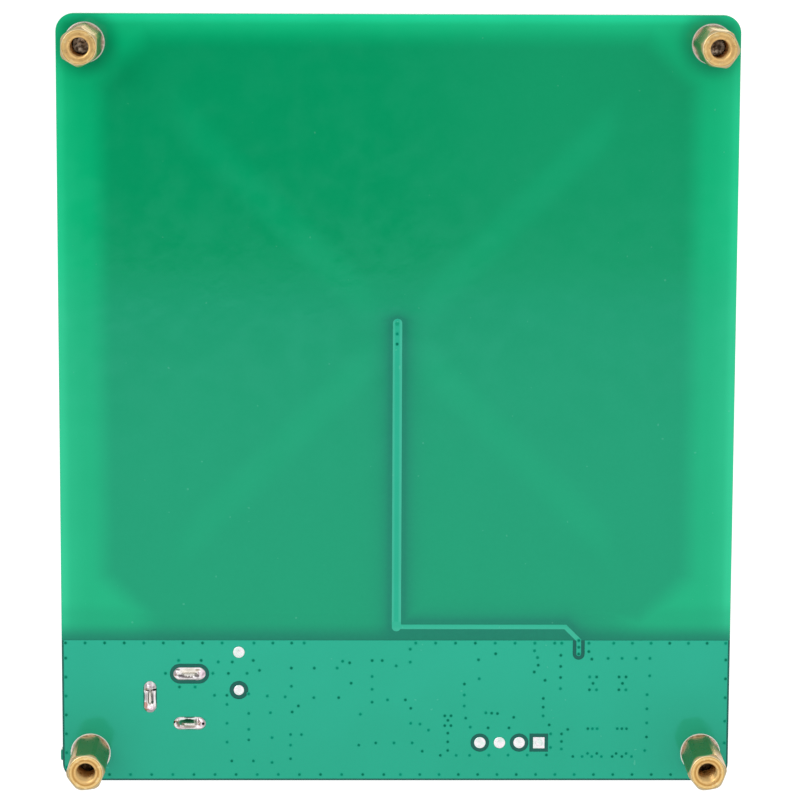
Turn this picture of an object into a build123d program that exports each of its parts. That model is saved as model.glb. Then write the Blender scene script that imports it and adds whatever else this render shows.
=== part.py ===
from build123d import *
import os
from math import cos, radians, tan

# Pulse generator module: a green circuit board with a spiral antenna, carried on four brass standoffs.
# Millimetres. X runs across the board, Y from the electronics strip to the antenna end, +Z out of the
# component side. The free ends of the standoffs stand on z = 0, and x = y = 0 is the middle of the board.

os.makedirs("parts", exist_ok=True)

# Board
board_width = 86.0
board_length = 98.8
board_thickness = 1.6
board_corner_radius = 2.3
copper_thickness = 0.07
copper_edge_gap = 0.25
stub_width = 1.4
stub_height = 0.25
stub_from_front = 3.4

# Corner fixings
hole_inset_x = 3.6
hole_inset_y = 3.65
mounting_hole_diameter = 3.2
mounting_pad_diameter = 5.2

# Standoffs and their screws
standoff_length = 10.0
standoff_across_flats = 4.5
standoff_end_diameter = 4.35
thread_diameter = 3.0
thread_core_diameter = 2.5
thread_clearance = 0.02
screw_length = 6.0
screw_head_diameter = 5.6
screw_head_height = 1.9
recess_width = 3.0
recess_arm = 0.65
recess_depth = 1.1

# Electronics strip, from the front edge, and its isolation gaps
strip_depth = 18.57
isolation_gap = 0.45

# Antenna on the front, and its return track on the rear
antenna_side_margin = 6.1
antenna_far_margin = 3.5
antenna_near_margin = 2.95
antenna_pitch = 1.0
antenna_track = 0.65
antenna_corner = 6.0
antenna_heart = 2.4
return_width = 1.2
return_via_pitch = 1.31
branch_width = 0.62
branch_above_strip = 1.77
landing_x = -23.5
landing_via_pitch = 0.89

# DC jack
jack_x = 26.6
jack_width = 9.0
jack_height = 11.0
jack_length = 14.0
jack_flange_length = 3.4
jack_step = 0.35
jack_axis_height = 6.5
jack_bore_diameter = 6.3
jack_bore_depth = 9.6
jack_pin_diameter = 2.0
jack_shank_diameter = 1.5
jack_pin_recess = 0.8
contact_fit = 0.05
contact_thickness = 0.3
contact_width = 2.6
sleeve_spring_length = 4.2
switch_arm_width = 1.6
switch_arm_length = 5.0
sleeve_lug_from_mouth = 7.6
switch_lug_from_mouth = 11.1
switch_lug_offset = 5.08
lug_slot_length = 3.3
lug_slot_width = 1.0
lug_pad_length = 4.15
lug_pad_width = 1.7
lug_reach = 0.55
solder_height = 0.42
solder_slope = 35.0

# Bare pads on the rear
power_pad_diameter = 1.5
power_pad_x = 20.25
power_pad_from_strip = 1.58
power_pad_spacing = 5.0
test_pad_size = 1.5
test_pad_x = -18.47
test_pad_pitch = 2.54
test_pad_from_front = 5.04
pad_thickness = 0.1

# Packages on the front: places are (x, distance from the front edge)
mcu_place = (-5.2, 13.2)
mcu_size = (4.4, 6.5, 1.0)
mcu_span = 6.4
mcu_lead_pitch = 0.65
mcu_lead_width = 0.25
driver_place = (-25.4, 12.9)
driver_spacing = 3.8
driver_size = (3.0, 3.0, 0.95)
driver_span = 4.9
driver_lead_pitch = 0.65
driver_lead_width = 0.3
regulator_place = (15.6, 7.4)
regulator_size = (3.5, 6.5, 1.6)
regulator_span = 7.0
regulator_lead_pitch = 2.3
regulator_lead_width = 0.7
regulator_tab_width = 3.0
diode_place = (16.8, 15.1)
diode_size = (4.3, 2.6, 2.1)
diode_span = 5.1
diode_lead_width = 1.45
amplifier_place = (-6.7, 7.7)
amplifier_size = (2.0, 3.0, 0.8)
amplifier_pitch = 0.65
crystal_place = (0.8, 13.0)
crystal_size = (2.5, 3.2, 0.5)
crystal_lid_height = 0.25
crystal_lid_inset = 0.2
crystal_pad = 1.0
can_place = (6.5, 7.1)
can_diameter = 5.0
can_height = 5.2
can_base_size = 5.3
can_base_height = 0.9
can_lead_width = 0.7
led_place = (36.3, 13.8)
led_size = (1.25, 2.0, 0.45)
led_lens_height = 0.4
lead_thickness = 0.16
lead_foot = 0.55
mould_draft = 8.0
package_seat = 0.1
pad_margin = 0.3

# Chips: (length, width, height)
small_chip = (1.6, 0.8, 0.45)
medium_chip = (2.0, 1.25, 0.85)
large_chip = (3.2, 2.5, 1.5)
chip_cap = 0.35
chip_cap_wall = 0.03
chip_gap = 1.0

# Front tracks
track_width = 0.3
supply_width = 0.9
track_gap = 0.25
via_land_diameter = 0.65

# Levels and edges that the sizes above fix
front_edge = -board_length / 2
strip_line = front_edge + strip_depth
rear_copper = standoff_length
rear_face = rear_copper + copper_thickness
front_face = rear_face + board_thickness
front_copper = front_face + copper_thickness
hole_x = board_width / 2 - hole_inset_x
hole_y = board_length / 2 - hole_inset_y
antenna_half_width = board_width / 2 - antenna_side_margin
antenna_top = board_length / 2 - antenna_far_margin
antenna_bottom = strip_line + antenna_near_margin
antenna_half_height = (antenna_top - antenna_bottom) / 2
antenna_y = (antenna_top + antenna_bottom) / 2

nodes = {}
front_pads = []
windows = []


def ribbon(points, width):
    # A flat band of one width along a line of points, mitred at every corner.
    spots = [Vector(*point) for point in points]
    steps = [(b - a).normalized() for a, b in zip(spots, spots[1:])]
    left, right = [], []
    for spot, before, after in zip(spots, steps[:1] + steps, steps + steps[-1:]):
        across = Vector(-before.Y - after.Y, before.X + after.X)
        across = across * (width / (2 + 2 * before.dot(after)))
        left.append(spot + across)
        right.append(spot - across)
    return make_face(Polyline(*left, *reversed(right), close=True))


def slab(sketch, bottom, height):
    # A flat outline made solid, from the level of its underside.
    return extrude(Pos(0, 0, bottom) * sketch, height)


def group(solids):
    # Separate solids kept in one node.
    return Compound(children=list(solids))


def spread(count, pitch):
    # Places of `count` equal steps about zero.
    return [(index - (count - 1) / 2) * pitch for index in range(count)]


def fit_package(place, turn, pads):
    # Puts a package's pads on the board, opens the ground plane around them, and returns its location.
    here = Pos(place[0], front_edge + place[1]) * Rot(0, 0, turn)
    laid = [here * pad for pad in pads]
    front_pads.extend(laid)
    box = Sketch() + laid
    low, high = box.bounding_box().min, box.bounding_box().max
    middle = Pos((low.X + high.X) / 2, (low.Y + high.Y) / 2)
    grow = 2 * isolation_gap
    windows.append(middle * Rectangle(high.X - low.X + grow, high.Y - low.Y + grow))
    return Pos(0, 0, front_copper) * here


def moulded(size, seat=package_seat):
    # An epoxy body, its sides leaning in above and below the band where the leads leave it.
    length_x, length_y, height = size
    outline = Rectangle(length_x, length_y)
    band = lead_thickness / 2
    upper = extrude(Pos(0, 0, band) * outline, height / 2 - band, taper=mould_draft)
    both = upper + mirror(upper, about=Plane.XY) + slab(outline, -band, 2 * band)
    return Pos(0, 0, seat + height / 2) * both


def gull_lead(size, span, width):
    # One lead: out of the middle of the body's side, down, and flat on its pad, centred on y = 0.
    leave = package_seat + size[2] / 2
    level = lead_thickness / 2
    shoulder = size[0] / 2 + 1.5 * lead_thickness
    line = [(size[0] / 2, leave), (shoulder, leave), (span / 2 - lead_foot, level), (span / 2, level)]
    return Pos(0, width / 2, 0) * extrude(Plane.XZ * ribbon(line, lead_thickness), width)


def lead_rows(size, span, spots, width):
    # The same leads along both long sides of a package.
    lead = gull_lead(size, span, width)
    return [Rot(0, 0, turn) * Pos(0, spot, 0) * lead for turn in (0, 180) for spot in spots]


def lead_pads(span, spots, width, sides=(-1, 1)):
    # The pads under rows of leads.
    long = lead_foot + 2 * pad_margin
    reach = span / 2 + pad_margin - long / 2
    return [Pos(side * reach, spot) * Rectangle(long, width) for side in sides for spot in spots]


def chip_pads(size):
    # The two pads of a chip that lies along X.
    long = chip_cap + 2 * pad_margin
    reach = size[0] / 2 + pad_margin - long / 2
    return [Pos(side * reach, 0) * Rectangle(long, size[1]) for side in (-1, 1)]


def chips(size, places):
    # The cores and the end caps of a row of like chips.
    length, width, height = size
    level = chip_cap_wall + height / 2
    core = Pos(0, 0, level) * Box(length - 2 * chip_cap, width, height)
    cap = Box(chip_cap, width + 2 * chip_cap_wall, height + 2 * chip_cap_wall)
    ends = [Pos(side * (length - chip_cap) / 2, 0, level) * cap for side in (-1, 1)]
    cores, caps = [], []
    for x, from_edge, turn in places:
        here = fit_package((x, from_edge), turn, chip_pads(size))
        cores.append(here * core)
        caps += [here * end for end in ends]
    return cores, caps


# Laminate: the panel-tab stub stands out of the +X edge, and the jack's lugs pass through three slots.
rear_lug_y = front_edge + jack_length + contact_thickness / 2
sleeve_lug_y = front_edge + sleeve_lug_from_mouth
switch_lug_y = front_edge + switch_lug_from_mouth
lug_spots = [
    Pos(jack_x, rear_lug_y),
    Pos(jack_x, sleeve_lug_y),
    Pos(jack_x + switch_lug_offset, switch_lug_y) * Rot(0, 0, 90),
]
corners = [(side, end) for end in (1, -1) for side in (1, -1)]
holes = [Pos(side * hole_x, end * hole_y) for side, end in corners]
lug_slots = [spot * SlotOverall(lug_slot_length, lug_slot_width) for spot in lug_spots]

outline = RectangleRounded(board_width, board_length, board_corner_radius)
stub = Pos(board_width / 2, front_edge + stub_from_front) * Rectangle(2 * stub_height, stub_width)
outline += fillet(stub.vertices().group_by(Axis.X)[-1], 0.8 * stub_height)
outline -= [spot * Circle(mounting_hole_diameter / 2) for spot in holes]
outline -= lug_slots
nodes["board_laminate"] = slab(outline, rear_face, board_thickness)

# Standoffs: hexagonal brass, turned at both ends and tapped through. A screw fills the thread from the
# board side, and the rest of the bore is left at the thread's core diameter.
screw_seat = front_copper
engaged = screw_length - (screw_seat - rear_copper)
standoff_turns = {"far_right": 31, "far_left": 6, "near_right": 53, "near_left": 51}


def standoff():
    hexagon = RegularPolygon(standoff_across_flats / 2, 6, major_radius=False)
    swing = standoff_across_flats / 2 / cos(radians(30))
    end = standoff_end_diameter / 2
    lip = (swing - end) * tan(radians(30))
    side = [(0, 0), (end, 0), (swing, lip), (swing, standoff_length - lip), (end, standoff_length)]
    blank = revolve(Plane.XZ * make_face(Polyline(*side, (0, standoff_length), close=True)), Axis.Z)
    core = thread_core_diameter / 2
    thread = thread_diameter / 2
    sink = thread - core + 0.1
    shoulder = standoff_length - engaged
    bore = [(0, 0), (core + sink, 0), (core, sink), (core, shoulder), (thread, shoulder)]
    bore += [(thread, standoff_length), (0, standoff_length)]
    drill = revolve(Plane.XZ * make_face(Polyline(*bore, close=True)), Axis.Z)
    return (extrude(hexagon, standoff_length) & blank) - drill


bare_standoff = standoff()
for (name, turn), spot in zip(standoff_turns.items(), holes):
    nodes["standoff_" + name] = spot * Rot(0, 0, turn) * bare_standoff


def screw():
    # Pan head with a cross recess.
    rim = screw_head_diameter / 2
    shank = thread_diameter / 2 - thread_clearance
    tip = thread_diameter / 8
    side = [(0, screw_head_height), (0.7 * rim, screw_head_height), (rim, 0.5 * screw_head_height)]
    side += [(rim, 0), (shank, 0), (shank, tip - screw_length), (shank - tip, -screw_length)]
    side += [(0, -screw_length)]
    body = revolve(Plane.XZ * make_face(Polyline(*side, close=True)), Axis.Z)
    arm = Rectangle(recess_width, recess_arm)
    cross = arm + Rot(0, 0, 90) * arm
    return body - slab(cross, screw_head_height - recess_depth, recess_depth)


bare_screw = screw()
nodes["standoff_screws"] = group(spot * Pos(0, 0, screw_seat) * bare_screw for spot in holes)

# Mounting pads: tinned rings around the corner holes, on the rear and, clear of the ground plane, on the
# front. The near screws clamp the front ground plane itself.
ring = Circle(mounting_pad_diameter / 2) - Circle(mounting_hole_diameter / 2)
mounting_pads = [slab(spot * ring, rear_copper, copper_thickness) for spot in holes]
mounting_pads += [slab(spot * ring, front_face, copper_thickness) for spot in holes[:2]]
nodes["mounting_pads"] = group(mounting_pads)

# Antenna: a band that winds inward as a rectangle. The turns have the same cut at their corners until
# they are too small for it, so the runs open out along the diagonals.
entry_x = driver_place[0] - driver_spacing + driver_lead_pitch / 2
driver_pad_end = front_edge + driver_place[1] + driver_span / 2 + pad_margin


def antenna_line():
    turns = int((min(antenna_half_width, antenna_half_height) - antenna_heart) / antenna_pitch)
    start = driver_pad_end - antenna_y
    entry_cut = min(antenna_corner, (entry_x + antenna_half_width) / 3, (-antenna_half_height - start) / 3)
    knots = [(entry_x, start, 0), (entry_x, -antenna_half_height, entry_cut)]
    for turn in range(turns + 1):
        wide = antenna_half_width - turn * antenna_pitch
        high = antenna_half_height - turn * antenna_pitch
        cut = min(antenna_corner, 0.7 * wide, 0.7 * high)
        knots += [(-wide, -high, cut if turn else entry_cut), (-wide, high, cut)]
        if turn < turns:
            knots += [(wide, high, cut), (wide, antenna_pitch - high, cut)]
    knots += [(0, high, antenna_track / 2), (0, 0, 0)]
    spots = [Vector(x, y) for x, y, cut in knots]
    line = [spots[0]]
    for before, corner, after, knot in zip(spots, spots[1:], spots[2:], knots[1:]):
        line += [corner + (side - corner).normalized() * knot[2] for side in (before, after)]
    return line + [spots[-1]]


heart = Rot(0, 0, 90) * SlotOverall(2 * return_via_pitch + return_width, return_width)
antenna = ribbon([(spot.X, spot.Y) for spot in antenna_line()], antenna_track) + heart
nodes["antenna_spiral"] = slab(Pos(0, antenna_y) * antenna, front_face, copper_thickness)

# Return track: from the heart of the antenna down the rear to its landing, which lies in a notch of the
# ground plane and passes through to the front.
branch_y = strip_line + branch_above_strip
landing_end = strip_line - 2 * landing_via_pitch
branch = [(0, branch_y), (landing_x + branch_above_strip, branch_y), (landing_x, strip_line)]
track = ribbon([(0, antenna_y + return_via_pitch), (0, branch_y)], return_width)
track += [Pos(0, end) * Circle(return_width / 2) for end in (antenna_y + return_via_pitch, branch_y)]
track += ribbon(branch + [(landing_x, landing_end)], branch_width)
track += Pos(landing_x, landing_end) * Circle(branch_width / 2)
nodes["return_track"] = slab(track, rear_copper, copper_thickness)
landing_middle = Pos(landing_x, strip_line - landing_via_pitch) * Rot(0, 0, 90)
landing = landing_middle * SlotOverall(2 * landing_via_pitch + branch_width, branch_width)
landing_window = landing_middle * Rectangle(
    2 * landing_via_pitch + branch_width + 2 * isolation_gap, branch_width + 2 * isolation_gap
)

# Bare pads on the rear. The first power pad and the third test pad join the ground plane, and each of
# the others stands in a gap of its own.
power_y = strip_line - power_pad_from_strip
power_spots = [Pos(power_pad_x, power_y), Pos(power_pad_x, power_y - power_pad_spacing)]
power_pads = [spot * Circle(power_pad_diameter / 2) for spot in power_spots]
test_y = front_edge + test_pad_from_front
test_spots = [Pos(test_pad_x + index * test_pad_pitch, test_y) for index in range(4)]
test_shapes = [Rectangle(test_pad_size, test_pad_size)] + [Circle(test_pad_size / 2)] * 3
test_pads = [spot * shape for spot, shape in zip(test_spots, test_shapes)]
pad_level = rear_face - pad_thickness
nodes["power_pads"] = group(slab(pad, pad_level, pad_thickness) for pad in power_pads)
nodes["test_pads"] = group(slab(pad, pad_level, pad_thickness) for pad in test_pads)

# Ground planes: the same strip on both faces, held back from the board's edges.
plane_width = board_width - 2 * copper_edge_gap
plane_depth = strip_depth - copper_edge_gap
plane = Pos(0, strip_line - plane_depth / 2) * Rectangle(plane_width, plane_depth)
plane = fillet(plane.vertices().group_by(Axis.Y)[0], board_corner_radius - copper_edge_gap)

lug_pad = SlotOverall(lug_pad_length, lug_pad_width)
lug_gap = SlotOverall(lug_pad_length + 2 * isolation_gap, lug_pad_width + 2 * isolation_gap)
notch_width = branch_width + 2 * isolation_gap
notch_depth = strip_line + isolation_gap - landing_end
notch = Pos(landing_x, landing_end) * Circle(notch_width / 2)
notch += Pos(landing_x, landing_end + notch_depth / 2) * Rectangle(notch_width, notch_depth)
round_gap = Circle(test_pad_size / 2 + isolation_gap)
square_side = test_pad_size + 2 * isolation_gap
rear_cuts = [
    notch,
    power_pads[0],
    power_spots[1] * Circle(power_pad_diameter / 2 + isolation_gap),
    test_spots[0] * Rectangle(square_side, square_side),
    test_spots[1] * round_gap,
    test_pads[2],
    test_spots[3] * round_gap,
    lug_spots[0] * lug_gap,
    lug_spots[1] * lug_pad,
    lug_spots[2] * lug_pad,
]
rear_cuts += [spot * Circle(mounting_pad_diameter / 2) for spot in holes[2:]]
nodes["rear_ground_plane"] = slab(plane - rear_cuts, rear_copper, copper_thickness)

# DC jack: a housing with a square mouth and an arched barrel, the centre pin staked over its rear
# terminal, the sleeve spring along the foot of the bore, and the switch arm beside it. It stands on the
# front ground plane with its mouth level with the board's edge, and is drawn with the mouth at y = 0.
jack_seat = front_copper
jack_at = Pos(jack_x, front_edge, jack_seat)
lug_drop = jack_seat - rear_copper + lug_reach
bore_foot = jack_axis_height - jack_bore_diameter / 2
bore_side = jack_bore_diameter / 2
spring_rest = bore_foot + bore_side - (bore_side**2 - (contact_width / 2) ** 2) ** 0.5 + contact_thickness
arm_rest = (bore_side**2 - (switch_arm_width / 2) ** 2) ** 0.5 - contact_thickness / 2 - contact_fit


def along_mouth(sketch, start, length):
    # A section of the jack, drawn in XZ, made solid from `start` behind the mouth.
    return extrude(Plane.XZ.offset(-start) * sketch, -length)


def lug():
    # A contact's tail below the seat, tapering at its end, drawn upright and centred.
    half = contact_width / 2
    nose = contact_width / 4
    side = [(half, 0), (half, nose - lug_drop), (nose, -lug_drop)]
    return make_face(Polyline(*side, *[(-x, y) for x, y in reversed(side)], close=True))


def jack_housing():
    waist = jack_width - 2 * jack_step
    frame = Pos(0, jack_height / 2) * Rectangle(jack_width, jack_height)
    frame = fillet(frame.vertices().group_by(Axis.Y)[-1], 2 * jack_step)
    arch = Pos(0, jack_axis_height / 2) * Rectangle(waist, jack_axis_height)
    arch += Pos(0, jack_axis_height) * Circle(waist / 2)
    bore = Pos(0, jack_axis_height) * Circle(bore_side)
    body = along_mouth(frame, 0, jack_flange_length)
    body += along_mouth(arch, jack_flange_length, jack_length - jack_flange_length)
    body -= along_mouth(bore, 0, jack_bore_depth)
    rim = Rot(-90, 0, 0) * Cone(bore_side + jack_step, bore_side, jack_step)
    body -= Pos(0, jack_step / 2, jack_axis_height) * rim
    pin_hole = Pos(0, jack_axis_height) * Circle(jack_shank_diameter / 2)
    body -= along_mouth(pin_hole, jack_bore_depth, jack_length - jack_bore_depth)
    slot = contact_thickness + 2 * contact_fit
    deep = spring_rest + contact_thickness
    sleeve_slot = Pos(0, sleeve_lug_from_mouth, deep / 2) * Box(contact_width + 2 * contact_fit, slot, deep)
    inner = arm_rest - contact_thickness / 2 - contact_fit
    back = switch_lug_from_mouth + slot / 2
    reach = back - jack_bore_depth + contact_thickness
    side_slot = Box(jack_width / 2, reach, switch_arm_width + 2 * contact_fit)
    side_at = Pos(inner + jack_width / 4, back - reach / 2, jack_axis_height)
    return body - sleeve_slot - side_at * side_slot


def jack_pin():
    # Turned pin with a tapered tip, shouldered on the end of the bore and staked over the rear terminal.
    radius = jack_pin_diameter / 2
    shank = jack_shank_diameter / 2
    back = jack_length + contact_thickness
    side = [(0, jack_pin_recess), (0.6 * radius, jack_pin_recess), (radius, jack_pin_recess + 0.6 * radius)]
    side += [(radius, jack_bore_depth), (shank, jack_bore_depth), (shank, back)]
    side += [(1.6 * shank, back), (shank, back + 0.6 * shank), (0, back + 0.6 * shank)]
    return Pos(0, 0, jack_axis_height) * revolve(make_face(Polyline(*side, close=True)), Axis.Y)


def rear_terminal():
    # A flat plate on the jack's back, pierced by the pin, that runs straight down into its slot.
    top = jack_axis_height + contact_width / 2
    plate = Pos(0, top / 2) * Rectangle(contact_width, top)
    plate = fillet(plate.vertices().group_by(Axis.Y)[-1], contact_width / 4)
    plate = plate + lug() - Pos(0, jack_axis_height) * Circle(jack_shank_diameter / 2)
    return along_mouth(plate, jack_length, contact_thickness)


def sleeve_contact():
    # A bowed spring strip in the bore, turned down through the housing's floor.
    back = sleeve_lug_from_mouth
    crest = spring_rest + 1.5 * contact_thickness
    line = [(back - sleeve_spring_length, spring_rest), (back - sleeve_spring_length / 2, crest)]
    strip = ribbon(line + [(back, spring_rest), (back, 0)], contact_thickness)
    strip = Pos(-contact_width / 2, 0, 0) * extrude(Plane.YZ * strip, contact_width)
    return strip + along_mouth(lug(), back - contact_thickness / 2, contact_thickness)


def switch_contact():
    # A spring arm along the bore's side, led out through the wall to a plate that drops to the board.
    back = switch_lug_from_mouth
    start = jack_bore_depth - switch_arm_length
    line = [(arm_rest, start), (arm_rest - 1.5 * contact_thickness, start + switch_arm_length / 2)]
    line += [(arm_rest, jack_bore_depth), (arm_rest, back), (switch_lug_offset, back)]
    arm = slab(ribbon(line, contact_thickness), jack_axis_height - switch_arm_width / 2, switch_arm_width)
    top = jack_axis_height + switch_arm_width / 2
    plate = Pos(0, top / 2) * Rectangle(contact_width, top) + lug()
    plate = extrude(Plane.YZ * plate, contact_thickness)
    return arm + Pos(switch_lug_offset - contact_thickness / 2, back, 0) * plate


nodes["jack_housing"] = jack_at * jack_housing()
nodes["jack_centre_pin"] = jack_at * jack_pin()
nodes["jack_rear_terminal"] = jack_at * rear_terminal()
nodes["jack_sleeve_contact"] = jack_at * sleeve_contact()
nodes["jack_switch_contact"] = jack_at * switch_contact()


def solder_joint(spot, contact):
    # Solder that fills a lug's slot and stands around its end on the rear.
    pad = spot * lug_pad
    plug = slab(spot * SlotOverall(lug_slot_length, lug_slot_width), rear_face, board_thickness)
    dome = extrude(Pos(0, 0, rear_face) * pad, -solder_height - copper_thickness, taper=solder_slope)
    return plug + dome - contact


lug_contacts = [nodes["jack_" + name] for name in ("rear_terminal", "sleeve_contact", "switch_contact")]
nodes["jack_solder"] = group(solder_joint(*pair) for pair in zip(lug_spots, lug_contacts))

# Microcontroller, output drivers and regulator: moulded packages on gull-wing leads.
mcu_spots = spread(10, mcu_lead_pitch)
mcu_at = fit_package(mcu_place, 0, lead_pads(mcu_span, mcu_spots, mcu_lead_width))
nodes["microcontroller_body"] = mcu_at * moulded(mcu_size)
mcu_leads = lead_rows(mcu_size, mcu_span, mcu_spots, mcu_lead_width)
nodes["microcontroller_leads"] = group(mcu_at * lead for lead in mcu_leads)

driver_spots = spread(4, driver_lead_pitch)
for name, offset in (("right", 0), ("left", -driver_spacing)):
    place = (driver_place[0] + offset, driver_place[1])
    here = fit_package(place, 90, lead_pads(driver_span, driver_spots, driver_lead_width))
    nodes["driver_body_" + name] = here * moulded(driver_size)
    leads = lead_rows(driver_size, driver_span, driver_spots, driver_lead_width)
    nodes["driver_leads_" + name] = group(here * lead for lead in leads)

regulator_spots = spread(3, regulator_lead_pitch)
regulator_pads = lead_pads(regulator_span, regulator_spots, regulator_lead_width, sides=(-1,))
regulator_pads += lead_pads(regulator_span, [0], regulator_tab_width, sides=(1,))
here = fit_package(regulator_place, 90, regulator_pads)
nodes["regulator_body"] = here * moulded(regulator_size)
lead = gull_lead(regulator_size, regulator_span, regulator_lead_width)
leads = [Rot(0, 0, 180) * Pos(0, spot, 0) * lead for spot in regulator_spots]
leads.append(gull_lead(regulator_size, regulator_span, regulator_tab_width))
nodes["regulator_leads"] = group(here * lead for lead in leads)


def diode_lead():
    # A strap that leaves the body's side and folds in under it.
    half = diode_size[0] / 2
    bend = diode_span / 2 - lead_thickness / 2
    leave = diode_seat + diode_size[2] / 2
    level = lead_thickness / 2
    line = [(half, leave), (bend, leave), (bend, level), (bend - 2 * lead_foot, level)]
    strap = extrude(Plane.XZ * ribbon(line, lead_thickness), diode_lead_width)
    return Pos(0, diode_lead_width / 2, 0) * strap


diode_seat = 1.5 * lead_thickness
here = fit_package(diode_place, 0, lead_pads(diode_span, [0], diode_lead_width + pad_margin))
nodes["diode_body"] = here * moulded(diode_size, diode_seat)
nodes["diode_leads"] = group(here * Rot(0, 0, turn) * diode_lead() for turn in (0, 180))

# Reference amplifier: a leadless package, its terminals flush with its foot.
amplifier_length, amplifier_width, amplifier_height = amplifier_size
amplifier_pads = lead_pads(amplifier_length, spread(4, amplifier_pitch), amplifier_pitch / 2)
here = fit_package(amplifier_place, 0, amplifier_pads)
body = slab(Rectangle(amplifier_length, amplifier_width), 0, amplifier_height)
nodes["amplifier_package"] = here * chamfer(body.edges().group_by(Axis.Z)[-1], amplifier_height / 10)

# Crystal: ceramic base with cut corners, and a seam-welded lid.
crystal_width, crystal_length, crystal_height = crystal_size
pad_x = (crystal_width - crystal_pad) / 2 + pad_margin / 2
pad_y = (crystal_length - crystal_pad) / 2 + pad_margin / 2
crystal_square = Rectangle(crystal_pad, crystal_pad)
crystal_pads = [Pos(x, y) * crystal_square for x in (-pad_x, pad_x) for y in (-pad_y, pad_y)]
here = fit_package(crystal_place, 0, crystal_pads)
base = Rectangle(crystal_width, crystal_length)
base -= [Pos(*tuple(spot)) * Circle(crystal_lid_inset) for spot in base.vertices()]
nodes["crystal_base"] = here * slab(base, 0, crystal_height)
lid_width = crystal_width - 2 * crystal_lid_inset
lid = RectangleRounded(lid_width, crystal_length - 2 * crystal_lid_inset, 1.5 * crystal_lid_inset)
nodes["crystal_lid"] = here * slab(lid, crystal_height, crystal_lid_height)

# Input capacitor: an aluminium can rolled over a plastic base, on two flat leads.
lead_reach = can_base_size / 2 + lead_foot
lead_length = can_base_size / 3 + lead_foot
can_pad = Rectangle(lead_length, can_lead_width + 2 * pad_margin)
pad_reach = lead_reach + pad_margin - lead_length / 2
here = fit_package(can_place, 0, [Pos(side * pad_reach, 0) * can_pad for side in (-1, 1)])
can_lead = Box(lead_length, can_lead_width, lead_thickness)
can_lead = Pos(lead_reach - lead_length / 2, 0, lead_thickness / 2) * can_lead
nodes["capacitor_leads"] = group(here * Rot(0, 0, turn) * can_lead for turn in (0, 180))
base = Rectangle(can_base_size, can_base_size)
base = chamfer(base.vertices().group_by(Axis.X)[-1], can_base_size / 5)
nodes["capacitor_base"] = here * slab(base, lead_thickness, can_base_height)


def can():
    # Drawn can with a crimped waist and a rounded crown.
    foot = lead_thickness + can_base_height
    top = foot + can_height
    rim = can_diameter / 2
    crimp = can_diameter / 20
    side = [(0, foot), (rim, foot), (rim, foot + 2 * crimp), (rim - crimp, foot + 3 * crimp)]
    side += [(rim - crimp, foot + 4 * crimp), (rim, foot + 5 * crimp)]
    side += [(rim, top - crimp), (rim - crimp, top), (0, top)]
    return revolve(Plane.XZ * make_face(Polyline(*side, close=True)), Axis.Z)


nodes["capacitor_can"] = here * can()

# Status LED: a ceramic base and a clear block over it.
led_width, led_length, led_height = led_size
led_pad = Rectangle(led_width, lead_foot + pad_margin)
led_pads = [Pos(0, side * led_length / 2) * led_pad for side in (-1, 1)]
here = fit_package(led_place, 0, led_pads)
nodes["led_base"] = here * slab(Rectangle(led_width, led_length), 0, led_height)
lens = Rectangle(led_width - 2 * chip_cap_wall, led_length - 2 * chip_cap)
nodes["led_lens"] = here * extrude(Pos(0, 0, led_height) * lens, led_lens_height, taper=mould_draft)

# Chips: each is a ceramic core between two plated ends, and each row follows the package it serves.
chip_reach = small_chip[0] / 2 + pad_margin
column = mcu_place[0] - mcu_span / 2 - pad_margin - chip_gap - chip_reach
column_step = 2 * chip_reach + chip_gap
row_step = small_chip[1] + chip_gap
resistors = [
    (column - column_step * index, mcu_place[1] + row, 0) for index in range(2) for row in spread(3, row_step)
]
beside = amplifier_size[0] / 2 + 2 * pad_margin + chip_gap
resistors += [
    (amplifier_place[0] - beside - row_step * index, amplifier_place[1], 90) for index in range(3)
]
low_row = amplifier_place[1] - pad_margin
resistors += [(amplifier_place[0] + beside + row_step * index, low_row, 90) for index in range(2)]
resistors += [(crystal_place[0] + spot, amplifier_place[1], 90) for spot in spread(2, row_step)]
led_resistor = led_place[1] - led_size[1] / 2 - pad_margin - chip_gap - chip_reach
resistors.append((led_place[0], led_resistor, 90))

above_crystal = crystal_place[1] + crystal_size[1] / 2 + chip_gap / 2 + chip_reach
small_capacitors = [(crystal_place[0] + spot, above_crystal, 90) for spot in spread(2, crystal_size[0])]
above_mcu = mcu_place[1] + mcu_size[1] / 2 + chip_gap / 2 + small_chip[1] / 2
small_capacitors.append((mcu_place[0], above_mcu, 0))

medium_reach = medium_chip[0] / 2 + pad_margin
below_driver = driver_place[1] - driver_span / 2 - pad_margin - chip_gap - medium_reach
driver_columns = [driver_place[0], driver_place[0] - driver_spacing]
medium_capacitors = [
    (middle + spot, below_driver, 90) for middle in driver_columns for spot in spread(2, driver_spacing / 2)
]
beside = regulator_size[1] / 2 + chip_gap / 2 + medium_chip[1] / 2
medium_capacitors += [(regulator_place[0] + side * beside, regulator_place[1], 90) for side in (-1, 1)]

bulk_y = below_driver - medium_reach - chip_gap / 2 - large_chip[0] / 2 - pad_margin
large_capacitors = [(middle, bulk_y, 90) for middle in driver_columns]


resistor_cores, resistor_caps = chips(small_chip, resistors)
nodes["resistor_bodies"] = group(resistor_cores)
nodes["resistor_ends"] = group(resistor_caps)
capacitor_rows = [
    ((small_chip[0], small_chip[1], small_chip[1]), small_capacitors),
    (medium_chip, medium_capacitors),
    (large_chip, large_capacitors),
]
capacitor_cores, capacitor_caps = [], []
for size, places in capacitor_rows:
    cores, caps = chips(size, places)
    capacitor_cores += cores
    capacitor_caps += caps
nodes["ceramic_capacitor_bodies"] = group(capacitor_cores)
nodes["ceramic_capacitor_ends"] = group(capacitor_caps)

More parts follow.
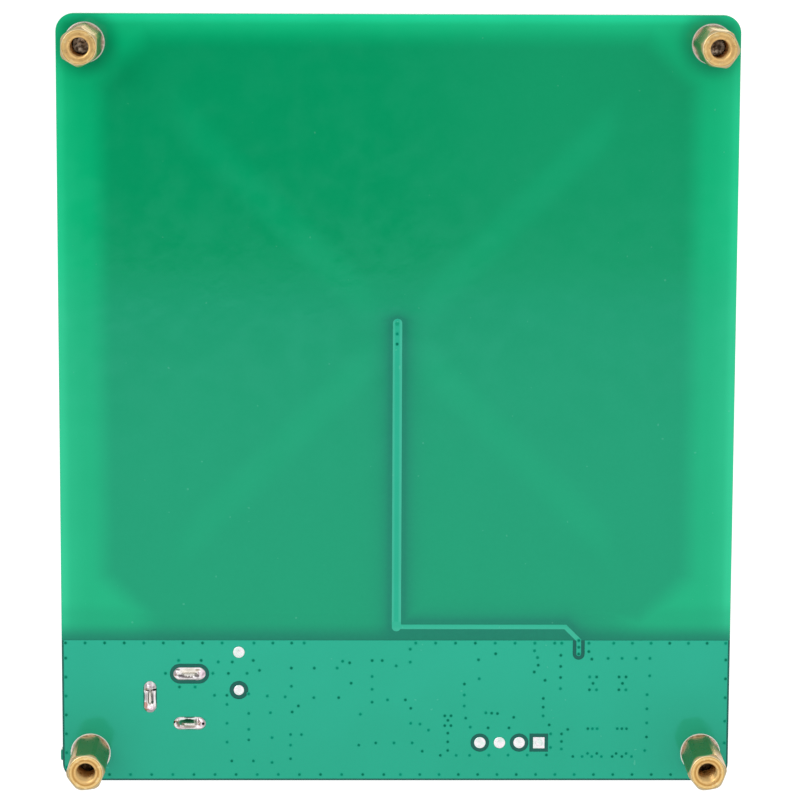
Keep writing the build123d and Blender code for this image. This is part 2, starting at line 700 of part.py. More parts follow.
# Front tracks: each runs from pad to pad, or ends on a small land over a via.
mcu_x, mcu_y = mcu_place[0], front_edge + mcu_place[1]
mcu_reach = mcu_span / 2
row_y = [mcu_y + row for row in spread(3, row_step)]
feed_rows = [mcu_y + spot * mcu_lead_pitch for spot in (-2.5, -0.5, 2.5)]
chip_half = small_chip[0] / 2
tracks = []
for level, leave in zip(row_y, feed_rows):
    meet = mcu_x - mcu_reach - pad_margin
    tracks.append([(mcu_x - mcu_reach, leave), (meet, leave), (column + chip_half, level)])
    tracks.append([(column - chip_half, level), (column - column_step + chip_half, level)])
last_x = column - column_step - chip_half
lands = [(last_x - 2 * chip_gap, row_y[1]), (last_x - 3 * chip_gap, row_y[2])]
tracks.append([(last_x, row_y[1]), lands[0]])
tracks.append([(last_x, row_y[2]), lands[1]])
driver_x, driver_y = driver_place[0], front_edge + driver_place[1]
driver_reach = driver_span / 2
outer_lead = 1.5 * driver_lead_pitch
turn_in = driver_x + outer_lead + 2 * chip_gap
tracks.append([
    (last_x, row_y[0]),
    (turn_in, row_y[0]),
    (driver_x + outer_lead, driver_y - driver_reach - pad_margin / 2),
])
tracks.append([
    (landing_x, landing_end),
    (landing_x, landing_end - branch_width),
    (driver_x + outer_lead, driver_y + driver_reach),
])
decoupling_y = front_edge + below_driver
medium_half = medium_chip[0] / 2
for middle in driver_columns:
    for spot in (-1, 1):
        x = middle + spot * driver_spacing / 4
        lead_end = (middle + spot * outer_lead, driver_y - driver_reach)
        tracks.append([lead_end, (x, decoupling_y + medium_half)])
        tracks.append([(x, decoupling_y - medium_half), (x, front_edge + bulk_y + large_chip[0] / 2)])
crystal_x, crystal_y = crystal_place[0], front_edge + crystal_place[1]
clock_leads = [mcu_y + spot * mcu_lead_pitch for spot in (1.5, -1.5)]
tracks.append([(mcu_x + mcu_reach, clock_leads[0]), (crystal_x - pad_x, crystal_y + pad_y)])
below_crystal = crystal_y - crystal_length / 2 - chip_gap
tracks.append([
    (mcu_x + mcu_reach, clock_leads[1]),
    (crystal_x - pad_x - crystal_pad, below_crystal),
    (crystal_x + pad_x - chip_gap / 2, below_crystal),
    (crystal_x + pad_x, crystal_y - pad_y),
])
for side in (-1, 1):
    above = (crystal_x + side * crystal_size[0] / 2, front_edge + above_crystal - chip_half)
    tracks.append([(crystal_x + side * pad_x, crystal_y + pad_y), above])
led_x, led_y = led_place[0], front_edge + led_place[1]
lands.append((led_x, led_y + led_length / 2 + 2 * chip_gap))
lands.append((led_x, front_edge + led_resistor - chip_half - 2 * chip_gap))
led_resistor_y = front_edge + led_resistor
tracks.append([lands[2], (led_x, led_y + led_length / 2)])
tracks.append([(led_x, led_y - led_length / 2), (led_x, led_resistor_y + chip_half)])
tracks.append([(led_x, led_resistor_y - chip_half), lands[3]])

# Supply tracks, from the jack through the diode and the regulator.
diode_x, diode_y = diode_place[0], front_edge + diode_place[1]
regulator_x, regulator_y = regulator_place[0], front_edge + regulator_place[1]
supply_tracks = [
    [(jack_x, rear_lug_y), (diode_x + diode_span, diode_y), (diode_x + diode_span / 2, diode_y)],
    [
        (diode_x - diode_span / 2, diode_y),
        (diode_x - diode_span, diode_y),
        (regulator_x - beside, diode_y - diode_span / 2),
        (regulator_x - beside, regulator_y + medium_half),
    ],
    [
        (regulator_x, regulator_y + regulator_span / 2),
        (regulator_x + beside - chip_gap, regulator_y + regulator_span / 2),
        (regulator_x + beside, regulator_y + 2 * medium_half),
        (regulator_x + beside, regulator_y + medium_half),
    ],
]

# Front copper: component pads, tracks, the landing of the return track, and the ground plane around them.
front_pads.append(landing)
front_pads.append(lug_spots[0] * lug_pad - lug_slots[0])
nodes["component_pads"] = group(slab(pad, front_face, copper_thickness) for pad in front_pads)
lines = [(line, track_width) for line in tracks] + [(line, supply_width) for line in supply_tracks]
land = RegularPolygon(via_land_diameter / 2, 8, major_radius=False, rotation=22.5)
land_gap = RegularPolygon(via_land_diameter / 2 + track_gap, 8, major_radius=False, rotation=22.5)
pieces = Sketch() + [ribbon(line, width) for line, width in lines] + [Pos(*spot) * land for spot in lands]
pieces -= front_pads + lug_slots
track_windows = [ribbon(line, width + 2 * track_gap) for line, width in lines]
track_windows += [Pos(*spot) * land_gap for spot in lands]
nodes["front_tracks"] = slab(pieces, front_face, copper_thickness)
entry_height = strip_line - driver_pad_end + isolation_gap
entry_middle = Pos(entry_x, driver_pad_end + entry_height / 2)
entry_window = entry_middle * Rectangle(antenna_track + 2 * isolation_gap, entry_height)
front_cuts = windows + track_windows + [landing_window, entry_window]
front_cuts += [lug_spots[0] * lug_gap] + lug_slots[1:]
front_cuts += [spot * Circle(mounting_hole_diameter / 2) for spot in holes[2:]]
nodes["front_ground_plane"] = slab(plane - front_cuts, front_face, copper_thickness)

for name, part in nodes.items():
    export_step(part, "parts/" + name + ".step")
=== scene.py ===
import math
import bpy
import bmesh
from mathutils import Matrix, Vector


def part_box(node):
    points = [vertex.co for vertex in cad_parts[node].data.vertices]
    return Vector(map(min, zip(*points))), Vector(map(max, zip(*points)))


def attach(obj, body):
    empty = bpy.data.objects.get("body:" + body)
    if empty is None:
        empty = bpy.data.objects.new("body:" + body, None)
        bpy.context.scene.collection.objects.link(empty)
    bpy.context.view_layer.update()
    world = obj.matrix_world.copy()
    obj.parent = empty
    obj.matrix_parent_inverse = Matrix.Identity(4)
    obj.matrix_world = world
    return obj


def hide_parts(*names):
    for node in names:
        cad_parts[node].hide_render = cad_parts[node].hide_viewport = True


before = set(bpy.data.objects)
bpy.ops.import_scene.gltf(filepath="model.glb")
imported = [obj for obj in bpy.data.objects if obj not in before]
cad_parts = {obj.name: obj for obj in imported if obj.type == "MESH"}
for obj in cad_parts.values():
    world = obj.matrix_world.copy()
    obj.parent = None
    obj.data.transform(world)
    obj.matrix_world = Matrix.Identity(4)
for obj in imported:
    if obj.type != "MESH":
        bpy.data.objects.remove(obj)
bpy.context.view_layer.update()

millimetre = 0.001


def spot(x, y, z=0.0):
    # a place given in millimetres
    return Vector((x, y, z)) * millimetre


def paint(tone):
    # a screen colour, 0 to 255, as the shader's own linear values
    def linear(value):
        value = value / 255
        return value / 12.92 if value <= 0.04045 else ((value + 0.055) / 1.055) ** 2.4
    return tuple(linear(value) for value in tone) + (1.0,)


class Signal:
    # one socket of a node tree, so that shader maths reads as plain expressions
    def __init__(self, sheet, socket):
        self.sheet = sheet
        self.socket = socket

    def maths(self, operation, *others):
        values = dict(enumerate((self,) + others))
        return self.sheet.node("ShaderNodeMath", {"operation": operation}, values)

    def __add__(self, other):
        return self.maths("ADD", other)

    def __sub__(self, other):
        return self.maths("SUBTRACT", other)

    def __mul__(self, other):
        return self.maths("MULTIPLY", other)

    def __truediv__(self, other):
        return self.maths("DIVIDE", other)

    def __pow__(self, other):
        return self.maths("POWER", other)

    def __rsub__(self, other):
        return self * -1 + other

    def __abs__(self):
        return self.maths("ABSOLUTE")

    __radd__ = __add__
    __rmul__ = __mul__

    def least(self, other):
        return self.maths("MINIMUM", other)

    def most(self, other):
        return self.maths("MAXIMUM", other)

    def ramp(self, start, end, low=0.0, high=1.0):
        # low before start, high after end, with a soft turn between
        settings = {"interpolation_type": "SMOOTHSTEP"}
        values = {"Value": self, "From Min": start, "From Max": end, "To Min": low, "To Max": high}
        if start > end:
            values.update({"From Min": end, "From Max": start, "To Min": high, "To Max": low})
        return self.sheet.node("ShaderNodeMapRange", settings, values)

    def within(self, start, full, fade, end):
        # one between full and fade, nothing before start and after end
        return self.ramp(start, full) * self.ramp(end, fade)


class Sheet:
    # a node tree with the few calls that every finish needs
    def __init__(self, tree):
        self.tree = tree
        tree.nodes.clear()

    def feed(self, socket, value):
        if isinstance(value, Signal):
            self.tree.links.new(value.socket, socket)
        else:
            socket.default_value = value

    def node(self, kind, settings=None, values=None, output=0):
        made = self.tree.nodes.new(kind)
        for name, value in (settings or {}).items():
            setattr(made, name, value)
        for name, value in (values or {}).items():
            self.feed(made.inputs[name], value)
        return Signal(self, made.outputs[output])

    def split(self, vector):
        outputs = self.node("ShaderNodeSeparateXYZ", None, {0: vector}).socket.node.outputs
        return [Signal(self, outputs[i]) for i in range(3)]

    def join(self, x, y, z):
        return self.node("ShaderNodeCombineXYZ", None, {0: x, 1: y, 2: z})

    def mix(self, amount, low, high):
        # between two colours, each a tone of 0 to 255 or a signal
        low, high = (paint(tone) if isinstance(tone, tuple) else tone for tone in (low, high))
        return self.node("ShaderNodeMix", {"data_type": "RGBA"}, {0: amount, 6: low, 7: high}, output=2)

    def layers(self, colour, *layers):
        # each layer is a share and the tone that it lays over what is below
        for share, tone in layers:
            colour = self.mix(share, colour, tone)
        return colour


class Finish(Sheet):
    # one material: a Principled shader whose patterns read object coordinates in millimetres
    def __init__(self, name, **fixed):
        self.material = bpy.data.materials.new(name)
        self.material.use_nodes = True
        super().__init__(self.material.node_tree)
        self.shader = self.node("ShaderNodeBsdfPrincipled").socket.node
        self.end = self.tree.nodes.new("ShaderNodeOutputMaterial").inputs[0]
        self.tree.links.new(self.shader.outputs[0], self.end)
        for label, value in fixed.items():
            self.use(label.replace("_", " "), value)
        where = self.node("ShaderNodeTexCoord", output="Object")
        self.place = self.node("ShaderNodeVectorMath", {"operation": "SCALE"}, {0: where, "Scale": 1000.0})
        self.x, self.y, self.z = self.split(self.place)

    def use(self, label, value):
        self.feed(self.shader.inputs[label], value)

    def dress(self, colour, rough, height, depth):
        # what every finish sets; depth is in millimetres for a height of one
        self.use("Base Color", colour)
        self.use("Roughness", rough)
        values = {"Height": height, "Distance": depth * millimetre, "Strength": 1.0}
        self.use("Normal", self.node("ShaderNodeBump", None, values))
        return self.material

    def noise(self, size, detail=3.0, place=None):
        # 0 to 1 around 0.5, with patches about size millimetres across
        values = {"Vector": place or self.place, "Scale": 1 / size, "Detail": detail}
        return self.node("ShaderNodeTexNoise", None, values)

    def patches(self, size, low=0.0, high=1.0, detail=3.0):
        # cloudy patches between two values
        return self.noise(size, detail).ramp(0.3, 0.7, low, high)

    def stretched(self, x, y, z):
        # the place with each axis scaled, for grain that runs one way
        return self.node("ShaderNodeVectorMath", {"operation": "MULTIPLY"}, {0: self.place, 1: (x, y, z)})

    def up(self):
        # how far the surface looks up
        return self.split(self.node("ShaderNodeNewGeometry", output="Normal"))[2]


boardLook = {
    "edgeX": 43.0, "edgeY": 49.4, "antennaHalfWidth": 37.2, "antennaLow": -28.2, "antennaHigh": 46.2,
    "antennaCut": 6.0, "stripLine": -30.83, "feedTop": (0, 10.3), "feedTurn": (0, -29.06),
    "branchEnd": (-21.73, -29.06), "landing": (-23.5, -30.83), "feedHalfWidth": 0.66,
    "branchHalfWidth": 0.45, "feedShadow": 1.45, "endFade": 0.6, "rayHalfWidth": 4.6, "screwShade": 5.2,
}
# a pair is for the lower and the upper half of the board, or for the darker and the paler grain
boardTones = {
    "bare": ((10, 182, 120), (7, 186, 121)), "edge": ((44, 207, 145), (36, 211, 146)),
    "rim": (30, 226, 162), "under": ((5, 157, 105), (4, 157, 100)), "ray": (10, 178, 118),
    "feedShadow": (8, 126, 92), "band": (2, 112, 82), "strip": (8, 74, 56), "stub": (24, 150, 112),
    "screwShade": (2, 122, 80), "front": (6, 138, 88), "cloth": ((138, 158, 106), (172, 180, 132)),
}
maskTones = {
    "pigment": (4, 138, 88), "grain": (40, 190, 140), "dust": (110, 205, 170), "copper": (33, 176, 139),
    "lowCopper": (29, 170, 132), "track": (29, 178, 138), "trackEdgeHighlight": (62, 189, 152),
    "via": ((0, 112, 85), (0, 140, 110)), "viaRim": (44, 176, 144), "faintVia": (29, 165, 128),
}
specularTint = (0.3, 0.95, 1.0, 1.0)
maskShine = {"Specular_IOR_Level": 0.75, "Specular_Tint": specularTint}
holeReach = (39.4, 45.75)  # from the middle of the board to its mounting holes


def maskTexture(finish, colour):
    # the small unevenness that every masked surface shares: cloudy pigment, orange peel and specks of dust
    colour = finish.layers(
        colour, (finish.noise(9.0).ramp(0.35, 0.65, 0.0, 0.06), maskTones["pigment"]),
        (finish.patches(0.45, 0.0, 0.03, 2.0), maskTones["grain"]),
        (finish.noise(0.6, 0.0).ramp(0.86, 0.88) * 0.25, maskTones["dust"]))
    peel = finish.noise(1.6, 2.0) + finish.noise(0.25, 1.0) * 0.2
    return finish.dress(colour, finish.patches(3.0, 0.07, 0.13, 4.0), peel, 0.004)


def gapToLine(finish, start, end):
    # how far a place is from the line between two places, in millimetres
    runX, runY = end[0] - start[0], end[1] - start[1]
    x, y = finish.x - start[0], finish.y - start[1]
    share = ((x * runX + y * runY) / (runX ** 2 + runY ** 2)).most(0.0).least(1.0)
    return ((x - share * runX) ** 2.0 + (y - share * runY) ** 2.0) ** 0.5


def holeGap(finish):
    # how far a place is from the middle of the nearest mounting hole, in millimetres
    x, y = abs(finish.x) - holeReach[0], abs(finish.y) - holeReach[1]
    return (x ** 2.0 + y ** 2.0) ** 0.5


def feedShadow(finish):
    # the copper of the feed line throws a soft shadow into the laminate beside it
    look = boardLook
    line = gapToLine(finish, look["feedTop"], look["feedTurn"]) - look["feedHalfWidth"]
    branch = gapToLine(finish, look["feedTurn"], look["branchEnd"]) - look["branchHalfWidth"]
    branch = branch.least(gapToLine(finish, look["branchEnd"], look["landing"]) - look["branchHalfWidth"])
    end = (finish.y - look["feedTop"][1] - 0.5).most(0.0) * look["endFade"]
    gap = line.least(branch).most(0.0) + end
    return ((gap * -1.0).maths("EXPONENT") * look["feedShadow"]).least(1.0)


def rearColour(finish):
    # light from below comes through the laminate: least under the antenna's turns, most near the edges
    look, tones = boardLook, boardTones
    across, along = abs(finish.x), abs(finish.y)
    upper = finish.y.ramp(11.0, 19.0)
    middle = (look["antennaLow"] + look["antennaHigh"]) / 2
    halfHeight = (look["antennaHigh"] - look["antennaLow"]) / 2
    up = abs(finish.y - middle)
    slant = (across + up - (look["antennaHalfWidth"] + halfHeight - look["antennaCut"])) / math.sqrt(2)
    outside = (across - look["antennaHalfWidth"]).most(up - halfHeight).most(slant)
    # below the antenna hardly any light comes through, except at the two corners
    corners = finish.x.ramp(-33.0, -26.5) * finish.x.ramp(35.0, 29.5)
    shut = finish.y.ramp(-25.5, -27.5) * (0.3 + 0.7 * corners)
    inside = outside.ramp(2.2, -1.5).most(shut)
    edge = (look["edgeX"] - across).least(look["edgeY"] - along)
    glow = edge.ramp(3.8, 0.0) * 0.45 + edge.ramp(1.5, 0.2) * 0.55
    rim = (look["edgeY"] - finish.y).ramp(1.5, 0.0)
    bare = finish.layers(finish.mix(upper, *tones["bare"]), (glow, finish.mix(upper, *tones["edge"])),
                         (rim * 0.8, tones["rim"]))
    # the cut corners of the turns leave four lighter rays
    ray = abs(across - up).ramp(look["rayHalfWidth"], 0.5) * across.ramp(29.5, 25.0) * across.ramp(0.5, 5.0)
    under = finish.layers(finish.mix(upper, *tones["under"]), (ray * (0.23 + 0.1 * upper), tones["ray"]))
    # painted shade: a darker band runs beside the strip, and over the front ground plane no light comes
    # through
    band = finish.y.ramp(-28.3, -30.9) + finish.y.ramp(-26.0, -28.6) * 0.06
    strip = finish.y.ramp(look["stripLine"] + 0.1, look["stripLine"] - 0.1)
    stub = across.ramp(look["edgeX"], look["edgeX"] + 0.1)
    # the screw heads on the far side keep the light away around the upper mounting holes
    shade = holeGap(finish).ramp(look["screwShade"], 2.4) * finish.y.ramp(0.0, 1.0)
    return finish.layers(
        finish.mix(inside, bare, under), (feedShadow(finish), tones["feedShadow"]),
        (band * 0.8, tones["band"]), (strip, tones["strip"]), (stub, tones["stub"]),
        (shade * 0.6, tones["screwShade"]))


def boardFinish():
    finish = Finish("boardLaminateFinish", **maskShine)
    front = finish.up().ramp(0.4, 0.6)
    # the routed edge shows pale glass cloth in layers
    side = abs(finish.up()).ramp(0.75, 0.55)
    weave = finish.noise(0.11, place=finish.stretched(0.08, 0.08, 1.0)).ramp(0.35, 0.65)
    colour = finish.layers(rearColour(finish), (front, boardTones["front"]),
                           (side, finish.mix(weave, *boardTones["cloth"])))
    return maskTexture(finish, colour)


def maskedCopperFinish():
    finish = Finish("maskedCopperFinish", **maskShine)
    low = finish.y.ramp(-31.0, -48.0)
    return maskTexture(finish, finish.mix(low, maskTones["copper"], maskTones["lowCopper"]))


def feedFinish():
    # painted highlight: the narrow line is painted paler at its edges than in its middle, and the branch
    # paler all across, most along its lower side
    finish = Finish("returnTrackFinish", **maskShine)
    branch = finish.y.ramp(-28.3, -28.5)
    line = finish.x.ramp(0.2, 0.5).most(finish.x.ramp(-0.15, -0.4))
    lower = 0.42 + (finish.y - boardLook["feedTurn"][1]).ramp(0.1, -0.3) * 0.4
    pale = line + (lower - line) * branch
    landing = finish.y.ramp(-30.5, -31.0)
    colour = finish.layers(finish.mix(pale, maskTones["track"], maskTones["trackEdgeHighlight"]),
                           (landing, maskTones["copper"]))
    return maskTexture(finish, colour)


def viaFinish(name, level, side):
    # mask over a filled hole: as pale as the copper around it at the rim, dark in the middle
    finish = Finish(name, Specular_IOR_Level=0.1, Specular_Tint=specularTint)
    middle = ((finish.z - level) * side).ramp(0.001, 0.013)
    filled = finish.noise(2.2, 0.0).ramp(0.4, 0.6)  # some holes hold more mask than others
    dark = finish.mix(filled, *maskTones["via"])
    colour = finish.layers(finish.mix(middle, maskTones["viaRim"], dark),
                           (finish.y.ramp(9.0, 9.4), maskTones["faintVia"]))
    return maskTexture(finish, colour)


def metalFinish(name, dark, light, low, high, grain, depth, patch=1.5):
    # bare metal: two tones in cloudy patches, uneven shine and a fine dented surface
    finish = Finish(name, Metallic=1.0)
    colour = finish.mix(finish.patches(patch), dark, light)
    return finish.dress(colour, finish.patches(patch / 2, low, high), finish.noise(grain), depth)


def brassFinish():
    # turned brass: fine rings on the end faces and cloudy tarnish, with painted shade around the mouth and on
    # the flats, a painted dark line, painted highlights on the chamfer and a pale ring, and painted glints
    finish = Finish("brassFinish", Metallic=1.0)
    gap = holeGap(finish)
    end = finish.z.ramp(0.4, 0.1)
    rings = finish.noise(0.09, 2.0, finish.join(gap, 0.0, 0.0)).ramp(0.35, 0.65)
    # painted shade: a darker band around the mouth, strong on the near standoffs and faint on the far ones
    band = gap.within(1.44, 1.54, 1.68, 1.78) * finish.y.ramp(1.0, -1.0, 0.15, 0.9)
    # a thin painted dark line inside the chamfer, and a painted highlight on the chamfer
    line = gap.within(1.99, 2.04, 2.07, 2.12)
    chamferHighlight = gap.ramp(2.08, 2.16)
    # painted shade: the hex flats are darker than the end faces
    flatsShade = finish.z.ramp(0.35, 0.9) * gap.ramp(1.9, 2.0)
    # painted glints on the outer end face, and a pale painted highlight ring
    glints = finish.noise(0.7, 2.0).ramp(0.52, 0.68) * gap.ramp(1.5, 1.8)
    pale = gap.within(1.76, 1.84, 1.98, 2.04)
    colour = finish.layers(
        finish.mix(finish.patches(1.5), (222, 180, 116), (236, 197, 132)),
        (rings * end * 0.3, (200, 152, 80)), (band * end, (190, 142, 76)), (line * end * 0.5, (176, 130, 70)),
        (chamferHighlight * end * 0.85, (255, 238, 190)), (flatsShade * 0.75, (186, 142, 66)),
        (glints * end * 0.45, (255, 238, 188)), (pale * end * 0.5, (248, 216, 144)))
    grain = rings * end * 0.5 + finish.noise(0.4)
    return finish.dress(colour, finish.patches(0.75, 0.27, 0.35), grain, 0.0015)


def mountingPadFinish():
    # tinned rings with cloudy scuffs, a painted reflection and shade of the standoffs as dark patches close
    # to them, and a painted highlight at the rim, brighter on the near pads
    finish = Finish("mountingPadFinish", Metallic=1.0)
    gap = holeGap(finish)
    scuffs = finish.noise(0.5).ramp(0.4, 0.62)
    # painted reflection and shade of the standoff: dark patches close to it
    near = gap.ramp(2.5, 2.2) * finish.noise(0.8, 2.0).ramp(0.45, 0.6)
    # painted highlight at the rim, brighter on the near pads
    rim = gap.ramp(2.48, 2.54)
    colour = finish.layers(
        finish.mix(scuffs, (196, 184, 174), (230, 222, 214)), (near * 0.6, (120, 122, 96)),
        (rim, finish.mix(finish.y.ramp(1.0, -1.0), (196, 204, 194), (236, 254, 246))))
    return finish.dress(colour, 0.3 + rim * 0.12, finish.noise(0.3) + rim * -2.0, 0.006)


def solderFinish(name, centre, marks):
    # bright solder with duller grain and grooves, and in each joint marks of painted light and shade: painted
    # highlights, painted reflections of the board and painted shadows
    finish = Finish(name, Metallic=1.0)
    streaks = finish.noise(0.18, 2.0).ramp(0.56, 0.66)
    colour = finish.layers(finish.mix(finish.patches(0.6), (232, 226, 226), (252, 248, 249)),
                           (streaks * 0.35, (176, 160, 162)))
    # soft-edged marks of painted light and shade, each x, y, reach x, reach y, tone and share
    wobble = finish.noise(0.22, 2.0) * 0.5
    for x, y, reachX, reachY, tone, share in marks:
        across = (finish.x - (centre[0] + x)) / reachX
        along = (finish.y - (centre[1] + y)) / reachY
        gap = (across ** 2.0 + along ** 2.0) ** 0.5 + wobble
        colour = finish.mix(gap.ramp(1.4, 0.9) * share, colour, tone)
    return finish.dress(colour, finish.patches(0.4, 0.1, 0.26), finish.noise(0.3), 0.012)


def screwFinish():
    # zinc-plated steel, bright on the head; towards the tip, inside the standoff's bore, painted shade and a
    # painted brown reflection of the brass, darker on the near screws
    finish = Finish("screwFinish", Metallic=1.0)
    bright = finish.mix(finish.patches(0.9, detail=4.0), (168, 166, 162), (204, 202, 196))
    # painted shade and a painted reflection of the brass in the bore, darker on the near screws
    near = finish.y.ramp(1.0, -1.0)
    dark = finish.mix(near, (94, 77, 62), (50, 36, 24))
    pale = finish.mix(near, (188, 170, 150), (112, 90, 66))
    boreShadeAndReflection = finish.mix(finish.noise(0.45, 4.0).ramp(0.4, 0.6), dark, pale)
    colour = finish.mix(finish.z.ramp(9.0, 11.0), boreShadeAndReflection, bright)
    return finish.dress(colour, finish.patches(0.6, 0.22, 0.42), finish.noise(0.35), 0.012)


def matteFinish(name, dark, light, low, high, grain, depth, printed=None, **fixed):
    # moulded, fired or cast surfaces: fine grain with a slight mottle
    finish = Finish(name, **fixed)
    tone = finish.noise(grain * 6, 4.0) * 0.6 + finish.noise(grain, 2.0) * 0.4
    colour = finish.mix(tone.ramp(0.35, 0.65), dark, light)
    if printed:
        colour = printed(finish, colour)
    return finish.dress(colour, finish.patches(grain * 3, low, high), finish.noise(grain), depth)


diodeLook = {"barMiddle": 15.42, "barHalfWidth": 0.3, "bar": (196, 196, 190)}
canLook = {"middle": (6.5, -42.3), "inkLine": -0.95, "inkReach": 2.2, "ink": (24, 24, 26)}


def cathodeBar(finish, colour):
    # a pale bar printed across the top
    gap = abs(finish.x - diodeLook["barMiddle"])
    bar = gap.ramp(diodeLook["barHalfWidth"], diodeLook["barHalfWidth"] - 0.03) * finish.up().ramp(0.8, 0.9)
    worn = finish.noise(0.12).ramp(0.3, 0.45)
    return finish.mix(bar * (0.7 + 0.3 * worn), colour, diodeLook["bar"])


def canFinish():
    # drawn aluminium with a black segment printed on the crown over the negative lead
    finish = Finish("capacitorCanFinish")
    x, y = finish.x - canLook["middle"][0], finish.y - canLook["middle"][1]
    gap = (x ** 2.0 + y ** 2.0) ** 0.5
    segment = x.ramp(canLook["inkLine"], canLook["inkLine"] - 0.05)
    ink = segment * gap.ramp(canLook["inkReach"], canLook["inkReach"] - 0.04) * finish.up().ramp(0.9, 0.95)
    turned = finish.noise(0.06, 2.0, finish.join(gap, 0.0, 0.0))
    colour = finish.layers(finish.mix(finish.patches(1.5), (196, 198, 200), (224, 226, 228)),
                           (ink, canLook["ink"]))
    finish.use("Metallic", 1.0 - ink)
    grain = turned * 0.6 + finish.noise(0.2) * 0.6
    return finish.dress(colour, finish.patches(0.75, 0.22, 0.34) + ink * 0.25, grain, 0.002)


print("finishes")
# dark and light tone, least and most roughness, size of the grain and its depth, for some the patches too
metals = {
    "tinned_copper": ("tinnedCopperFinish", (222, 238, 232), (254, 242, 248), 0.25, 0.42, 0.3, 0.003, 0.7),
    "solder": ("solderFinish", (226, 224, 224), (248, 246, 246), 0.08, 0.22, 0.5, 0.012),
    "plated_contacts": ("platedContactFinish", (200, 196, 186), (232, 228, 220), 0.2, 0.34, 0.2, 0.004),
    "tinned_leads": ("tinnedLeadFinish", (190, 190, 190), (226, 226, 226), 0.24, 0.4, 0.15, 0.003),
}
compound = ((30, 30, 32), (44, 44, 46), 0.5, 0.7, 0.08, 0.006)
mattes = {
    "black_plastic": ("blackPlasticFinish", (20, 20, 21), (31, 31, 33), 0.38, 0.55, 0.12, 0.01),
    "moulding_compound": ("mouldingCompoundFinish", *compound),
    "dark_ceramic": ("darkCeramicFinish", (26, 26, 30), (42, 42, 48), 0.3, 0.5, 0.08, 0.003),
    "white_ceramic": ("whiteCeramicFinish", (214, 212, 206), (232, 230, 226), 0.4, 0.6, 0.06, 0.003),
    "tan_ceramic": ("tanCeramicFinish", (150, 120, 84), (172, 142, 102), 0.35, 0.5, 0.06, 0.003),
}
resin = ((222, 226, 214), (240, 242, 232), 0.1, 0.2, 0.5, 0.003)
finishes = {
    "green_board": boardFinish(), "masked_copper": maskedCopperFinish(), "brass": brassFinish(),
    "plated_steel": screwFinish(), "can_aluminium": canFinish(),
    "clear_resin": matteFinish("clearResinFinish", *resin, Transmission_Weight=0.6, IOR=1.5),
}
finishes.update({slotName: metalFinish(*look) for slotName, look in metals.items()})
finishes.update({slotName: matteFinish(*look) for slotName, look in mattes.items()})
ownFinishes = {
    "returnTrack": feedFinish(), "mountingPads": mountingPadFinish(),
    "diodeBody": matteFinish("diodeFinish", *compound, printed=cathodeBar),
}


def inOrder(shape):
    # sorted along one slanting way, so that the next steps give the same mesh each run
    way = Vector((1.0, 0.618, 0.377))
    shape.verts.sort(key=lambda vert: vert.co.dot(way))
    shape.edges.sort(key=lambda edge: (edge.verts[0].co + edge.verts[1].co).dot(way))
    shape.faces.sort(key=lambda face: face.calc_center_median().dot(way))


def weld(shape, gap=0.0005):
    bmesh.ops.remove_doubles(shape, verts=shape.verts, dist=gap * millimetre)
    inOrder(shape)


def faceOut(shape):
    bmesh.ops.recalc_face_normals(shape, faces=shape.faces)


def ease(shape, edges, width, segments=2):
    # rounds the given edges
    bmesh.ops.bevel(shape, geom=edges, offset=width * millimetre, segments=segments, profile=0.5,
                    affect="EDGES", clamp_overlap=True, material=-1)


def freshVerts(made):
    return [item for item in made["geom"] if isinstance(item, bmesh.types.BMVert)]


def asMesh(shape, name):
    mesh = bpy.data.meshes.new(name)
    shape.to_mesh(mesh)
    shape.free()
    return mesh


def inScene(name, data):
    thing = bpy.data.objects.new(name, data)
    bpy.context.scene.collection.objects.link(thing)
    return thing


def addPiece(name, shape, slotName, nodes=(), sharpAngle=35, finish=None):
    # the finished mesh as an object of its own, in its place, with the finish of its slot or one of its own
    mesh = asMesh(shape, name)
    mesh.materials.append(finish or finishes[slotName])
    mesh.shade_smooth()
    mesh.set_sharp_from_angle(angle=math.radians(sharpAngle))
    piece = inScene(name, mesh)
    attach(piece, "root")
    if nodes:
        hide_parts(*nodes)
    return piece


def weigh(piece):
    # broad faces keep their own flat shading beside narrow eased edges
    change = piece.modifiers.new("flat faces", "WEIGHTED_NORMAL")
    change.keep_sharp = True


def solidOf(node):
    # a named solid as a mesh to work on
    shape = bmesh.new()
    shape.from_mesh(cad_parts[node].data)
    weld(shape)
    return shape


def joinFlats(shape):
    # triangles that lie in one plane become one face again
    bmesh.ops.dissolve_limit(shape, angle_limit=math.radians(1), verts=shape.verts, edges=shape.edges)


def lathe(profile, steps=48, place=(0, 0, 0)):
    # a line of (radius, height) points turned about an upright axis at place
    shape = bmesh.new()
    line = [shape.verts.new(spot(radius, 0, height)) for radius, height in profile]
    edges = [shape.edges.new(pair) for pair in zip(line, line[1:])]
    bmesh.ops.spin(shape, geom=line + edges, cent=(0, 0, 0), axis=(0, 0, 1), angle=2 * math.pi, steps=steps,
                   use_merge=True)
    weld(shape)
    faceOut(shape)
    bmesh.ops.translate(shape, vec=spot(*place), verts=shape.verts)
    return shape


def arc(middle, radius, start, end, steps):
    # points of a profile along part of a circle, angles in degrees
    angles = [math.radians(start + (end - start) * i / steps) for i in range(steps + 1)]
    return [(middle[0] + radius * math.cos(a), middle[1] + radius * math.sin(a)) for a in angles]


def block(low, high):
    # a box between two corners
    shape = bmesh.new()
    bmesh.ops.create_cube(shape, size=1.0)
    low, high = spot(*low), spot(*high)
    bmesh.ops.scale(shape, vec=high - low, verts=shape.verts)
    bmesh.ops.translate(shape, vec=(low + high) / 2, verts=shape.verts)
    return shape


